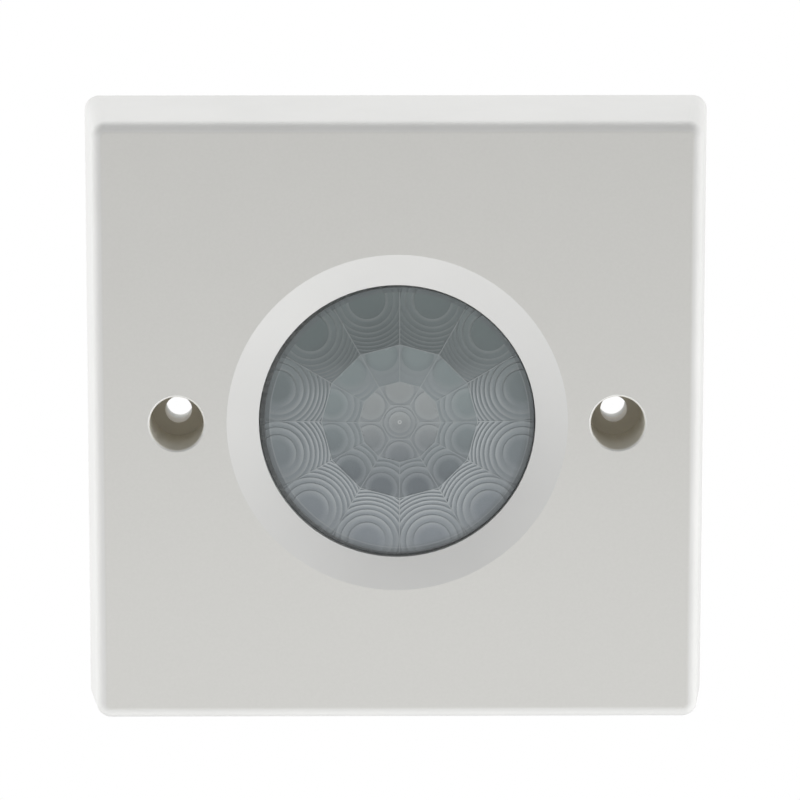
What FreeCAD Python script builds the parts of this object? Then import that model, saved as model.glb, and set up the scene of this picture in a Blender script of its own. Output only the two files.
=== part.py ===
import FreeCAD, Part
import math
import os
import re
import Sketcher

# Presence detector on a square moulded plate. Millimetres, +Z up. The front looks along -Y, and the
# origin is the middle of the mounting plane, where the plate's rear rim meets the ceiling or box.
os.makedirs("parts", exist_ok=True)
doc = FreeCAD.newDocument("presence_detector")

# Driving dimensions, one row each: name, value and what it measures
DRIVING = [
    ("plate_back", 86.0, "side of the square casing at its rear rim"),
    ("plate_front", 82.7, "side of the square casing at the front, before its edges are rounded"),
    ("plate_depth", 16.5, "rear rim to front face"),
    ("side_wall", 2.2, "thickness of the casing's side walls"),
    ("face_wall", 2.2, "thickness of the casing's front"),
    ("corner_round", 2.0, "radius of the casing's four corners"),
    ("edge_round", 1.6, "radius of the casing's front edges"),
    ("fixing_spacing", 60.3, "distance between the two fixing screws"),
    ("fixing_hole", 3.7, "diameter of the fixing screw's clearance hole"),
    ("fixing_recess", 7.4, "diameter of the deep recess for the screw's head"),
    ("recess_depth", 10.6, "front face to the seat of the screw's head"),
    ("sleeve_wall", 1.5, "wall of the sleeve round each recess"),
    ("rim_break", 0.25, "bevel at the mouth of each recess"),
    ("ring_width", 46.66, "diameter of the shallow cone at the front face"),
    ("aperture", 37.9, "diameter of the opening for the lens"),
    ("ring_drop", 1.3, "depth of the cone at the opening"),
    ("lip_thick", 1.6, "thickness of the lip that the lens flange rests on"),
    ("collar_wall", 3.0, "wall of the collar round the lens flange"),
    ("collar_long", 4.6, "lip's rear face to the end of the collar"),
    ("rib_thick", 1.2, "thickness of the stiffening ribs"),
    ("rib_high", 5.0, "height of the ribs behind the front"),
    ("boss_place", 35.3, "centre of each corner boss, across and up"),
    ("boss_width", 6.0, "diameter of a corner boss"),
    ("cover_thick", 2.5, "thickness of the rear cover's plate"),
    ("cover_gap", 0.15, "gap between rear cover and casing wall"),
    ("cover_screw", 2.2, "shank diameter of the rear cover's screws"),
    ("cover_head", 4.2, "head diameter of the rear cover's screws"),
    ("cover_head_high", 1.2, "head height of the rear cover's screws"),
    ("cover_cross", 2.6, "width of the cross recess in a cover screw's head"),
    ("cover_screw_long", 8.0, "length of the rear cover's screws under the head"),
    ("thread_gap", 0.05, "radial gap between a screw and its pilot hole"),
    ("pass_gap", 0.2, "radial gap between a screw and its clearance hole"),
    ("pillar_clear", 0.5, "gap between a board pillar and the capsule's wall"),
    ("capsule_tall", 54.0, "height of the rear capsule"),
    ("capsule_clear", 0.2, "gap between the tallest component and the capsule's rear wall"),
    ("capsule_wall", 1.8, "wall of the capsule"),
    ("capsule_draft", 0.6, "how far each side of the capsule leans in at its rear"),
    ("capsule_round", 4.0, "radius of the capsule's corners"),
    ("board_front", 4.6, "mounting plane to the board's front face"),
    ("board_thick", 1.6, "thickness of the circuit board"),
    ("board_gap", 0.4, "gap between board and capsule wall"),
    ("pillar_width", 5.0, "diameter of the board's pillars"),
    ("pillar_apart", 0.9, "gap between a pillar and the terminal housing"),
    ("pillar_off_wall", 0.7, "gap between a pillar and the capsule's upper or lower wall"),
    ("board_screw", 2.0, "shank diameter of the board's screws"),
    ("board_head", 3.8, "head diameter of the board's screws"),
    ("board_cross", 2.4, "width of the cross recess in a board screw's head"),
    ("board_screw_long", 6.0, "length of the board's screws under the head"),
    ("lens_clear", 0.25, "radial gap between the lens's wall and the opening"),
    ("lens_rise", 1.2, "height of the lens's shallow dome"),
    ("lens_sink", 0.3, "front face to the crown of the lens"),
    ("lens_skin", 0.6, "thickness of the lens between its facets"),
    ("lens_shoulder", 0.5, "radius where the lens turns down to its flange"),
    ("lens_skirt", 0.7, "wall of the skirt between dome and flange"),
    ("flange_over", 1.35, "how far the lens flange reaches past the opening"),
    ("flange_thick", 1.0, "thickness of the lens flange"),
    ("key_wide", 2.0, "width of the lens's locating key"),
    ("key_long", 1.0, "how far the key stands out of the flange"),
    ("seat_gap", 0.15, "radial gap of lens flange and retainer in the collar"),
    ("facet_depth", 0.3, "depth of the lens's grooves"),
    ("cell_gap", 0.12, "land between two cells of the lens"),
    ("outer_cells_from", 10.8, "radius of the corners between outer and middle cells"),
    ("middle_cells_from", 5.6, "radius of the corners between middle and inner cells"),
    ("inner_cells_from", 2.7, "radius of the corners between inner cells and centre cell"),
    ("outer_axis", 17.5, "radius of the outer cells' optical centres"),
    ("middle_axis", 9.6, "radius of the middle cells' optical centres"),
    ("inner_axis", 4.6, "radius of the inner cells' optical centres"),
    ("outer_zone", 2.72, "radius of the first zone of an outer cell"),
    ("middle_zone", 2.2, "radius of the first zone of a middle cell"),
    ("inner_zone", 1.95, "radius of the first zone of an inner cell"),
    ("centre_zone", 1.5, "radius of the first zone of the centre cell"),
    ("outer_rings", 2, "stepped rings round the first zone of an outer cell"),
    ("retainer_wide", 3.1, "wall of the lens retainer, from its bore to its rim"),
    ("notch_wide", 3.0, "width of the notches for taking the retainer out"),
    ("retainer_thick", 2.4, "thickness of the lens retainer"),
    ("retainer_bevel", 0.4, "bevel at the rear rim of the lens retainer"),
    ("barb_over", 0.6, "how far each snap barb overhangs the retainer"),
    ("barb_gap", 0.1, "play between retainer and barb"),
    ("barb_thick", 0.8, "thickness of a barb"),
    ("barb_wide", 5.0, "width of a barb"),
    ("shroud_base", 24.0, "inner diameter of the sensor shroud at the board"),
    ("shroud_wall", 1.0, "wall of the sensor shroud"),
    ("shroud_lap", 0.3, "how far the sensor shroud's rim laps the retainer"),
    ("shroud_foot", 2.0, "height of the shroud's straight foot"),
    ("shroud_rim", 1.2, "height of the shroud's straight rim"),
    ("can_width", 8.2, "diameter of the sensor can"),
    ("can_flange", 9.2, "diameter of the can's flange"),
    ("can_high", 4.2, "height of the sensor can"),
    ("can_flange_thick", 0.5, "thickness of the can's flange"),
    ("spacer_thick", 1.0, "height of the spacer under the can"),
    ("window_wide", 4.0, "width of the sensor's window"),
    ("window_tall", 3.0, "height of the sensor's window"),
    ("window_thick", 0.4, "thickness of the sensor's window"),
    ("lead_width", 0.45, "diameter of the sensor's leads"),
    ("lead_circle", 5.08, "diameter of the circle of the sensor's leads"),
    ("lead_proud", 1.2, "how far leads and pins stand out of the board"),
    ("lead_hole", 0.05, "radial gap between a lead or pin and its hole"),
    ("photocell_x", 8.4, "sensor axis to the photocell's centre"),
    ("photocell_width", 5.0, "diameter of the photocell"),
    ("photocell_high", 2.2, "height of the photocell"),
    ("terminal_pitch", 7.6, "distance between terminals"),
    ("terminal_ends", 1.0, "housing beyond the outer terminals' pitch"),
    ("terminal_groove", 0.6, "width of the grooves between the terminals"),
    ("contact_raise", 1.0, "pocket's lower end to the contact strip"),
    ("terminal_gap", 0.1, "gap between terminal housing and the capsule's lower wall"),
    ("terminal_tall", 12.0, "height of the terminal housing"),
    ("terminal_roof", 1.2, "housing wall over the screw heads"),
    ("terminal_wall", 1.2, "housing wall at the wire entries"),
    ("clamp_wide", 5.6, "width of a terminal clamp"),
    ("clamp_tall", 5.0, "height of a terminal clamp"),
    ("clamp_floor", 0.8, "wall of the clamp under the wire"),
    ("clamp_nut", 1.4, "wall of the clamp that carries the thread"),
    ("clamp_side", 0.7, "side walls of the clamp"),
    ("clamp_gap", 0.3, "play of the clamp in its pocket"),
    ("clamp_travel", 2.6, "travel of the clamp from open to closed"),
    ("clamp_left", 0.2, "gap left between clamp and contact when it is closed"),
    ("head_play", 0.5, "gap between a closed clamp and its screw's head"),
    ("wire_entry", 3.6, "width and height of a wire entry"),
    ("contact_thick", 0.8, "thickness of the contact strip"),
    ("contact_wide", 3.6, "width of the contact strip"),
    ("terminal_screw", 2.9, "shank diameter of a terminal screw"),
    ("terminal_head", 4.2, "head diameter of a terminal screw"),
    ("terminal_head_high", 1.4, "head height of a terminal screw"),
    ("driver_hole", 3.4, "diameter of the driver's hole over a terminal screw"),
    ("driver_funnel", 0.3, "how much wider the capsule's driver hole is, all round"),
    ("slot_wide", 0.8, "width of a screwdriver slot"),
    ("slot_deep", 0.7, "depth of a screwdriver slot"),
    ("adjuster_x", 9.6, "centre of each adjuster, across"),
    ("adjuster_edge", 9.6, "board's upper edge to the middle of each adjuster"),
    ("adjuster_side", 8.0, "side of an adjuster's body"),
    ("adjuster_high", 4.4, "height of an adjuster's body"),
    ("knob_width", 5.0, "diameter of an adjuster's knob"),
    ("knob_gap", 0.3, "radial gap of the knob in the capsule's wall"),
    ("knob_sink", 0.4, "capsule's rear face to the end of the knob"),
    ("spigot_width", 3.0, "diameter of the knob's spigot in the body"),
    ("spigot_long", 2.6, "length of the knob's spigot in the body"),
    ("spigot_gap", 0.05, "radial running gap of the spigot"),
    ("knob_lift", 0.1, "gap between the knob's shoulder and the adjuster's body"),
    ("knob_bevel", 0.3, "bevel round the end of the knob"),
    ("bore_spare", 0.2, "depth of the spigot's bore past the spigot"),
    ("relay_long", 20.0, "length of the relay"),
    ("relay_wide", 10.0, "width of the relay"),
    ("relay_high", 10.6, "height of the relay"),
    ("relay_bevel", 0.4, "bevel round the relay's top"),
    ("relay_x", -11.0, "centre of the relay, across"),
    ("relay_apart", 1.9, "gap between the terminal housing and the relay"),
    ("dropper_long", 17.6, "length of the mains capacitor"),
    ("dropper_wide", 6.4, "width of the mains capacitor"),
    ("dropper_high", 11.0, "height of the mains capacitor"),
    ("dropper_bevel", 0.5, "bevel round the mains capacitor's top"),
    ("dropper_x", 10.6, "centre of the mains capacitor, across"),
    ("dropper_apart", 1.7, "gap between the terminal housing and the mains capacitor"),
    ("reservoir_width", 8.0, "diameter of the reservoir capacitor"),
    ("reservoir_high", 11.2, "height of the reservoir capacitor"),
    ("crimp_from", 1.2, "board to the crimp groove of the reservoir capacitor"),
    ("crimp_deep", 0.4, "depth and half width of the crimp groove"),
    ("vent_deep", 0.2, "depth of the scored cross on the reservoir capacitor"),
    ("reservoir_x", 15.8, "centre of the reservoir capacitor, across"),
    ("reservoir_apart", 1.6, "gap between the mains capacitor and the reservoir capacitor"),
    ("varistor_width", 8.6, "diameter of the varistor disc"),
    ("varistor_thick", 4.0, "thickness of the varistor disc"),
    ("varistor_lift", 1.0, "gap between the varistor's disc and the board"),
    ("varistor_legs", 5.0, "distance between the varistor's wires, up"),
    ("varistor_x", 0.0, "centre of the varistor, across"),
    ("varistor_apart", 0.7, "gap between the relay and the varistor"),
    ("fuse_width", 3.6, "diameter of the fusible resistor"),
    ("fuse_long", 10.0, "length of the fusible resistor"),
    ("fuse_lift", 0.5, "gap between the fusible resistor and the board"),
    ("fuse_x", -14.0, "centre of the fusible resistor, across"),
    ("fuse_apart", 2.2, "gap between the relay and the fusible resistor"),
    ("diode_wide", 2.6, "width of a rectifier diode"),
    ("diode_long", 4.3, "length of a rectifier diode"),
    ("diode_high", 2.2, "height of a rectifier diode"),
    ("diode_tab", 0.5, "how far a diode's tabs stand out at its ends"),
    ("diode_pitch", 7.8, "distance between the centres of rectifier diodes"),
    ("diode_edge", 1.8, "board's upper edge to the middle of the row of diodes"),
    ("wire_width", 0.7, "diameter of component wires"),
    ("wire_reach", 1.1, "how far a wire runs out of its component before it bends down"),
    ("chip_long", 8.7, "length of the control chip"),
    ("chip_wide", 4.0, "width of the control chip"),
    ("chip_high", 1.6, "height of the control chip"),
    ("chip_lift", 0.15, "gap between the control chip's case and the board"),
    ("chip_pin", 0.4, "width of the chip's pins"),
    ("chip_pin_long", 1.4, "length of the chip's pins, partly under the case"),
    ("chip_pin_high", 0.5, "height of the chip's pins"),
    ("chip_pin_out", 0.3, "edge of the chip's case to the middle of its pins"),
    ("chip_pin_pitch", 1.27, "distance between the chip's pins"),
    ("chip_edge", 5.6, "board's upper edge to the middle of the control chip"),
]

dims = doc.addObject("Spreadsheet::Sheet", "dims")
for row, (name, number, note) in enumerate(DRIVING, 1):
    dims.set(f"A{row}", note)
    dims.set(f"B{row}", str(number))
    dims.setAlias(f"B{row}", name)
doc.recompute()
NAMES = {row[0] for row in DRIVING}

# Places along the depth, worked out from the driving dimensions
FRONT = "(-plate_depth)"
ROOF = "(face_wall - plate_depth)"
LIP_BACK = "(ring_drop + lip_thick - plate_depth)"
FLANGE_BACK = "(ring_drop + lip_thick + flange_thick - plate_depth)"
RETAINER_BACK = "(ring_drop + lip_thick + flange_thick + retainer_thick - plate_depth)"
COLLAR_BACK = "(ring_drop + lip_thick + collar_long - plate_depth)"
COVER_FRONT = "(-cover_thick)"
BOARD_BACK = "(board_front + board_thick)"
CLAMP_DEEP = "(clamp_floor + clamp_travel + clamp_left + contact_thick + clamp_nut)"
HEAD_FRONT = f"({BOARD_BACK} + clamp_gap + {CLAMP_DEEP} + clamp_travel + head_play)"
HOUSING_BACK = f"({HEAD_FRONT} + terminal_head_high + terminal_roof)"
TALLEST = f"max({HOUSING_BACK} - {BOARD_BACK}; relay_high; dropper_high; reservoir_high)"
CAPSULE_INSIDE = f"({BOARD_BACK} + {TALLEST} + capsule_clear)"
CAPSULE_BACK = f"({CAPSULE_INSIDE} + capsule_wall)"

# Places across and up
TERMINAL_HALF = "(2 * terminal_pitch + terminal_ends)"
PILLAR_X = f"({TERMINAL_HALF} + pillar_apart + pillar_width / 2)"
CAPSULE_HALF = f"({PILLAR_X} + pillar_width / 2 + pillar_clear + capsule_draft + capsule_wall)"
CAPSULE_WIDE = f"(2 * {CAPSULE_HALF})"
PILLAR_Z = "(capsule_tall / 2 - capsule_wall - capsule_draft - pillar_off_wall - pillar_width / 2)"
TERMINAL_Z = "(capsule_wall + capsule_draft + terminal_gap - capsule_tall / 2)"
TERMINAL_TOP = f"({TERMINAL_Z} + terminal_tall)"
BOARD_TOP = "(capsule_tall / 2 - capsule_wall - board_gap - capsule_draft)"
CHIP_Z = f"({BOARD_TOP} - chip_edge)"
ADJUSTER_Z = f"({BOARD_TOP} - adjuster_edge)"
RELAY_Z = f"({TERMINAL_TOP} + relay_apart + relay_wide / 2)"
RELAY_TOP = f"({RELAY_Z} + relay_wide / 2)"
DROPPER_Z = f"({TERMINAL_TOP} + dropper_apart + dropper_wide / 2)"
VARISTOR_Z = f"({RELAY_TOP} + varistor_apart + varistor_width / 2)"
FUSE_Z = f"({RELAY_TOP} + fuse_apart + fuse_width / 2)"
RESERVOIR_Z = f"({DROPPER_Z} + dropper_wide / 2 + reservoir_apart + reservoir_width / 2)"
LENS_WALL = "(aperture / 2 - lens_clear)"
FLANGE = "(aperture / 2 + flange_over)"
COLLAR_BORE = f"({FLANGE} + seat_gap)"
RETAINER_BORE = f"({FLANGE} - retainer_wide)"
SHROUD_MOUTH = f"({RETAINER_BORE} + shroud_lap - shroud_wall)"
MOUTH = "(plate_back - 2 * side_wall)"
CEILING = "(plate_front - 2 * side_wall)"
POCKET_BASE = f"({TERMINAL_Z} + terminal_wall)"
CLAMP_Z = f"({TERMINAL_Z} + terminal_wall + clamp_gap + clamp_tall / 2)"
CLAMP_FRONT = f"({BOARD_BACK} + clamp_gap)"
CONTACT_BACK = f"({CLAMP_FRONT} + {CLAMP_DEEP} - clamp_nut)"

# How far a feature runs into the one that carries it, and how far a cut runs past the face it opens
OVERLAP = 0.2
BITE = 0.5
PAST = 1


def bound(text):
    """Point the names in an expression at the sheet's cells."""
    return re.sub(r"[a-z][a-z0-9_]*", lambda word: f"dims.{word[0]}" if word[0] in NAMES else word[0], text)


def value(text):
    """Read an expression's number from the sheet."""
    return float(dims.evalExpression(bound(text)))


def new_body(label, many=False):
    """Start a sub-part; many allows it to hold several separate solids."""
    body = doc.addObject("PartDesign::Body", label)
    body.Label = label
    body.AllowCompound = many
    return body


def new_sketch(body, role, offset="0", turn=0):
    """Add a sketch on one of the body's own origin planes."""
    sketch = body.newObject("Sketcher::SketchObject", body.Label + "_sketch")
    plane = next(part for part in body.Origin.OriginFeatures if part.Role == role)
    sketch.AttachmentSupport = (plane, "")
    sketch.MapMode = "FlatFace"
    turned = FreeCAD.Rotation(FreeCAD.Vector(0, 0, 1), turn)
    sketch.AttachmentOffset = FreeCAD.Placement(FreeCAD.Vector(), turned)
    sketch.setExpression("AttachmentOffset.Base.z", bound(offset))
    return sketch


def across(body, depth="0", turn=0):
    """Add a sketch that lies across the depth, at a place along Y."""
    return new_sketch(body, "XZ_Plane", f"-({depth})", turn)


def fix_point(sketch, curve, corner, spot):
    """Tie one point of a sketch curve to two expressions."""
    for kind, text in zip(("DistanceX", "DistanceY"), spot):
        index = sketch.addConstraint(Sketcher.Constraint(kind, curve, corner, value(text)))
        sketch.setExpression(f"Constraints[{index}]", bound(text))


def add_outline(sketch, corners):
    """Close straight lines through corners, each given as two expressions."""
    spots = [FreeCAD.Vector(value(side), value(up), 0) for side, up in corners]
    first = sketch.GeometryCount
    for here, there in zip(spots, spots[1:] + spots[:1]):
        sketch.addGeometry(Part.LineSegment(here, there), False)
    for step in range(len(corners)):
        after = first + (step + 1) % len(corners)
        sketch.addConstraint(Sketcher.Constraint("Coincident", first + step, 2, after, 1))
        fix_point(sketch, first + step, 1, corners[step])


def add_rectangle(sketch, left, right, low, high):
    add_outline(sketch, [(left, low), (right, low), (right, high), (left, high)])


def add_centred(sketch, wide, tall, x="0", z="0"):
    left, right = f"{x} - {wide} / 2", f"{x} + {wide} / 2"
    add_rectangle(sketch, left, right, f"{z} - {tall} / 2", f"{z} + {tall} / 2")


def add_circle(sketch, x, z, width):
    centre = FreeCAD.Vector(value(x), value(z), 0)
    curve = sketch.addGeometry(Part.Circle(centre, FreeCAD.Vector(0, 0, 1), value(width) / 2), False)
    fix_point(sketch, curve, 3, (x, z))
    index = sketch.addConstraint(Sketcher.Constraint("Diameter", curve, value(width)))
    sketch.setExpression(f"Constraints[{index}]", bound(width))


def feature(body, kind, sketch):
    step = body.newObject("PartDesign::" + kind, f"{body.Label}_{kind.lower()}")
    step.Profile = sketch
    return step


def finish(body, step, cuts):
    """Recompute, and stop if a cut took nothing away or an addition added nothing."""
    before = step.BaseFeature.Shape.Volume if step.BaseFeature else 0
    doc.recompute()
    change = step.Shape.Volume - before
    if (change > -1e-6 if cuts else change < 1e-6):
        raise RuntimeError(f"{body.Label}: {step.Name} changed the volume by {change}")
    return step


def pad(body, sketch, length, to_rear=False):
    """Pad a sketch towards the front, or towards the rear."""
    step = feature(body, "Pad", sketch)
    step.setExpression("Length", bound(length))
    step.Reversed = to_rear
    return finish(body, step, False)


def pocket(body, sketch, length, to_front=False):
    """Cut a sketch towards the rear, or towards the front."""
    step = feature(body, "Pocket", sketch)
    step.setExpression("Length", bound(length))
    step.Reversed = to_front
    return finish(body, step, True)


def turn_about(body, kind, sketch, role="Y_Axis"):
    """Revolve or groove a sketch about one of the body's axes."""
    step = feature(body, kind, sketch)
    axis = next(part for part in body.Origin.OriginFeatures if part.Role == role)
    step.ReferenceAxis = (axis, [""])
    step.Angle = 360
    return finish(body, step, kind == "Groove")


def loft(body, kind, near, far):
    step = feature(body, kind, near)
    step.Sections = [far]
    step.Ruled = True
    return finish(body, step, kind == "SubtractiveLoft")


def around(body, step, count):
    """Repeat a feature round the Y axis."""
    pattern = body.newObject("PartDesign::PolarPattern", body.Label + "_pattern")
    pattern.Originals = [step]
    axis = next(part for part in body.Origin.OriginFeatures if part.Role == "Y_Axis")
    pattern.Axis = (axis, [""])
    pattern.Angle = 360
    pattern.Occurrences = count
    body.Tip = pattern
    doc.recompute()
    return pattern


def soften(body, kind, amount, wanted):
    """Fillet or chamfer the edges that a test picks."""
    base = body.Tip
    edges = [f"Edge{n}" for n, edge in enumerate(base.Shape.Edges, 1) if wanted(edge)]
    if not edges:
        raise RuntimeError(f"{body.Label}: no edges found to soften")
    step = body.newObject("PartDesign::" + kind, f"{body.Label}_{kind.lower()}")
    step.Base = (base, edges)
    size = "Radius" if kind == "Fillet" else "Size"
    step.setExpression(size, bound(amount))
    body.Tip = step
    doc.recompute()
    return step


def runs_deep(edge, reach=1e6):
    """True for an edge that runs along the depth, no further than reach from the axis."""
    box = edge.BoundBox
    steep = box.YLength > max(box.XLength, box.ZLength) and len(edge.Vertexes) == 2
    return steep and max(abs(box.XMin), abs(box.XMax)) < reach


def lies_at(edge, depth):
    """True for an edge that lies in the plane at one depth."""
    box = edge.BoundBox
    place = value(depth)
    return abs(box.YMin - place) < 1e-4 and abs(box.YMax - place) < 1e-4


def is_round(edge, width):
    """True for a circular edge of one diameter."""
    return isinstance(edge.Curve, Part.Circle) and abs(edge.Curve.Radius - value(width) / 2) < 1e-4


FIXINGS = [f"{side} * fixing_spacing / 2" for side in (-1, 1)]
CORNERS = [(f"{a} * boss_place", f"{b} * boss_place") for a in (-1, 1) for b in (-1, 1)]
PILLARS = [(f"{a} * {PILLAR_X}", f"{b} * {PILLAR_Z}") for a in (-1, 1) for b in (-1, 1)]
TERMINALS = [f"{step - 1.5} * terminal_pitch" for step in range(4)]


def make_front_casing():
    """Square drafted box open at the rear, with a coned opening, two screw sleeves and four bosses."""
    casing = new_body("front_casing")
    rear = across(casing)
    add_centred(rear, "plate_back", "plate_back")
    front = across(casing, FRONT)
    add_centred(front, "plate_front", "plate_front")
    loft(casing, "AdditiveLoft", rear, front)
    soften(casing, "Fillet", "corner_round", runs_deep)
    soften(casing, "Fillet", "edge_round", lambda edge: lies_at(edge, FRONT))
    mouth = across(casing)
    add_centred(mouth, MOUTH, MOUTH)
    ceiling = across(casing, ROOF)
    add_centred(ceiling, CEILING, CEILING)
    loft(casing, "SubtractiveLoft", mouth, ceiling)
    # collar round the lens flange, with the lip that the flange rests on
    collar = new_sketch(casing, "XY_Plane")
    outside = f"({COLLAR_BORE} + collar_wall)"
    inside = f"(aperture / 2 - {PAST})"
    add_outline(collar, [(inside, f"{ROOF} - {OVERLAP}"), (outside, f"{ROOF} - {OVERLAP}"),
                         (outside, COLLAR_BACK), (COLLAR_BORE, COLLAR_BACK),
                         (COLLAR_BORE, LIP_BACK), (inside, LIP_BACK)])
    turn_about(casing, "Revolution", collar)
    # sleeves for the fixing screws and bosses for the rear cover's screws
    posts = across(casing, COVER_FRONT)
    for x in FIXINGS:
        add_circle(posts, x, "0", "fixing_recess + 2 * sleeve_wall")
    for x, z in CORNERS:
        add_circle(posts, x, z, "boss_width")
    pad(casing, posts, f"plate_depth - face_wall - cover_thick + {OVERLAP}")
    # ribs from the collar to the walls, and on the diagonals to the bosses
    upright = across(casing, f"{ROOF} + rib_high")
    root = f"{outside} - {BITE}"
    add_rectangle(upright, "-rib_thick / 2", "rib_thick / 2", root, f"{CEILING} / 2 + {OVERLAP}")
    around(casing, pad(casing, upright, f"rib_high + {OVERLAP}"), 4)
    slanted = across(casing, f"{ROOF} + rib_high", 45)
    reach = f"(boss_place * sqrt(2) - boss_width / 2 + {BITE})"
    add_rectangle(slanted, root, reach, "-rib_thick / 2", "rib_thick / 2")
    around(casing, pad(casing, slanted, f"rib_high + {OVERLAP}"), 4)
    # coned ring and opening
    ring = new_sketch(casing, "XY_Plane")
    before, behind = f"{FRONT} - {PAST}", f"{LIP_BACK} + {BITE}"
    add_outline(ring, [("0", before), ("ring_width / 2", before), ("ring_width / 2", FRONT),
                       ("aperture / 2", f"{FRONT} + ring_drop"), ("aperture / 2", behind), ("0", behind)])
    turn_about(casing, "Groove", ring)
    # the fixing screws' recesses and holes
    recess = across(casing, FRONT)
    for x in FIXINGS:
        add_circle(recess, x, "0", "fixing_recess")
    pocket(casing, recess, "recess_depth")
    through = across(casing, FRONT)
    for x in FIXINGS:
        add_circle(through, x, "0", "fixing_hole")
    pocket(casing, through, "plate_depth")
    pilot = across(casing, COVER_FRONT)
    for x, z in CORNERS:
        add_circle(pilot, x, z, "cover_screw + 2 * thread_gap")
    pocket(casing, pilot, "cover_screw_long", to_front=True)
    # slot for the lens's key, and three barbs that hold the retainer
    slot = across(casing, LIP_BACK)
    add_rectangle(slot, "-key_wide / 2 - seat_gap", "key_wide / 2 + seat_gap",
                  f"{COLLAR_BORE} - {BITE}", f"{COLLAR_BORE} + key_long")
    pocket(casing, slot, "collar_long")
    barb = across(casing, f"{RETAINER_BACK} + barb_gap + barb_thick", 30)
    tip, hold = f"{COLLAR_BORE} - barb_over", f"{COLLAR_BORE} + {BITE}"
    add_rectangle(barb, tip, hold, "-barb_wide / 2", "barb_wide / 2")
    around(casing, pad(casing, barb, "barb_thick"), 3)
    soften(casing, "Chamfer", "rim_break",
           lambda edge: lies_at(edge, FRONT) and is_round(edge, "fixing_recess"))
    return casing


def make_rear_cover():
    """Plate that closes the casing, with a hollow capsule behind it for the electronics."""
    cover = new_body("rear_cover")
    slope = f"({MOUTH} - {CEILING}) / (plate_depth - face_wall)"
    rear = across(cover)
    add_centred(rear, f"({MOUTH} - 2 * cover_gap)", f"({MOUTH} - 2 * cover_gap)")
    front = across(cover, COVER_FRONT)
    narrow = f"({MOUTH} - 2 * cover_gap - cover_thick * {slope})"
    add_centred(front, narrow, narrow)
    loft(cover, "AdditiveLoft", rear, front)
    root = across(cover, "-cover_thick / 2")
    add_centred(root, CAPSULE_WIDE, "capsule_tall")
    top = across(cover, CAPSULE_BACK)
    add_centred(top, f"({CAPSULE_WIDE} - 2 * capsule_draft)", "(capsule_tall - 2 * capsule_draft)")
    loft(cover, "AdditiveLoft", root, top)
    reach = value(f"{CAPSULE_HALF} + {BITE}")
    soften(cover, "Fillet", "capsule_round", lambda edge: runs_deep(edge, reach))
    soften(cover, "Fillet", "capsule_wall / 2", lambda edge: lies_at(edge, CAPSULE_BACK))
    mouth = across(cover, COVER_FRONT)
    add_centred(mouth, f"({CAPSULE_WIDE} - 2 * capsule_wall)", "(capsule_tall - 2 * capsule_wall)")
    floor = across(cover, CAPSULE_INSIDE)
    add_centred(floor, f"({CAPSULE_WIDE} - 2 * capsule_wall - 2 * capsule_draft)",
                "(capsule_tall - 2 * capsule_wall - 2 * capsule_draft)")
    loft(cover, "SubtractiveLoft", mouth, floor)
    inner = value(f"{CAPSULE_HALF} - capsule_wall + {BITE}")
    soften(cover, "Fillet", "capsule_round - capsule_wall",
           lambda edge: runs_deep(edge, inner) and edge.BoundBox.YMin < value(COVER_FRONT) + 1e-3)
    # pillars for the board, drilled for its screws
    pillars = across(cover, BOARD_BACK)
    for x, z in PILLARS:
        add_circle(pillars, x, z, "pillar_width")
    pad(cover, pillars, f"{CAPSULE_INSIDE} - {BOARD_BACK} + {OVERLAP}", to_rear=True)
    pilots = across(cover, BOARD_BACK)
    for x, z in PILLARS:
        add_circle(pilots, x, z, "board_screw + 2 * thread_gap")
    pocket(cover, pilots, "board_screw_long")
    # holes for the fixing screws and for the cover's own screws
    fixings = across(cover, COVER_FRONT)
    for x in FIXINGS:
        add_circle(fixings, x, "0", "fixing_hole")
    for x, z in CORNERS:
        add_circle(fixings, x, z, "cover_screw + 2 * pass_gap")
    pocket(cover, fixings, "cover_thick")
    heads = across(cover)
    for x, z in CORNERS:
        add_circle(heads, x, z, "cover_head + 2 * pass_gap")
    pocket(cover, heads, "cover_head_high", to_front=True)
    # driver holes over the terminals, and round openings for the adjusters
    drivers = across(cover, CAPSULE_INSIDE)
    for x in TERMINALS:
        add_circle(drivers, x, CLAMP_Z, "driver_hole + 2 * driver_funnel")
    for side in (-1, 1):
        add_circle(drivers, f"{side} * adjuster_x", ADJUSTER_Z, "knob_width + 2 * knob_gap")
    pocket(cover, drivers, "capsule_wall")
    # wire entries through the capsule's lower wall
    entries = new_sketch(cover, "XY_Plane", "-capsule_tall / 2")
    for x in TERMINALS:
        add_rectangle(entries, f"{x} - wire_entry / 2", f"{x} + wire_entry / 2",
                      f"{CLAMP_FRONT} + clamp_floor", f"{CLAMP_FRONT} + clamp_floor + wire_entry")
    pocket(cover, entries, "capsule_wall + capsule_draft", to_front=True)
    return cover


def make_cover_screws():
    """Four pan-head screws that hold the rear cover, as one group of separate solids."""
    screws = new_body("cover_screws", many=True)
    heads = across(screws)
    for x, z in CORNERS:
        add_circle(heads, x, z, "cover_head")
    pad(screws, heads, "cover_head_high")
    shanks = across(screws, "-cover_head_high")
    for x, z in CORNERS:
        add_circle(shanks, x, z, "cover_screw")
    pad(screws, shanks, "cover_screw_long")
    slots = across(screws)
    for x, z in CORNERS:
        add_outline(slots, cross_outline(x, z, "cover_cross", "slot_wide"))
    pocket(screws, slots, "slot_deep", to_front=True)
    soften(screws, "Chamfer", "cover_head_high / 4",
           lambda edge: lies_at(edge, "0") and is_round(edge, "cover_head"))
    return screws


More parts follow.
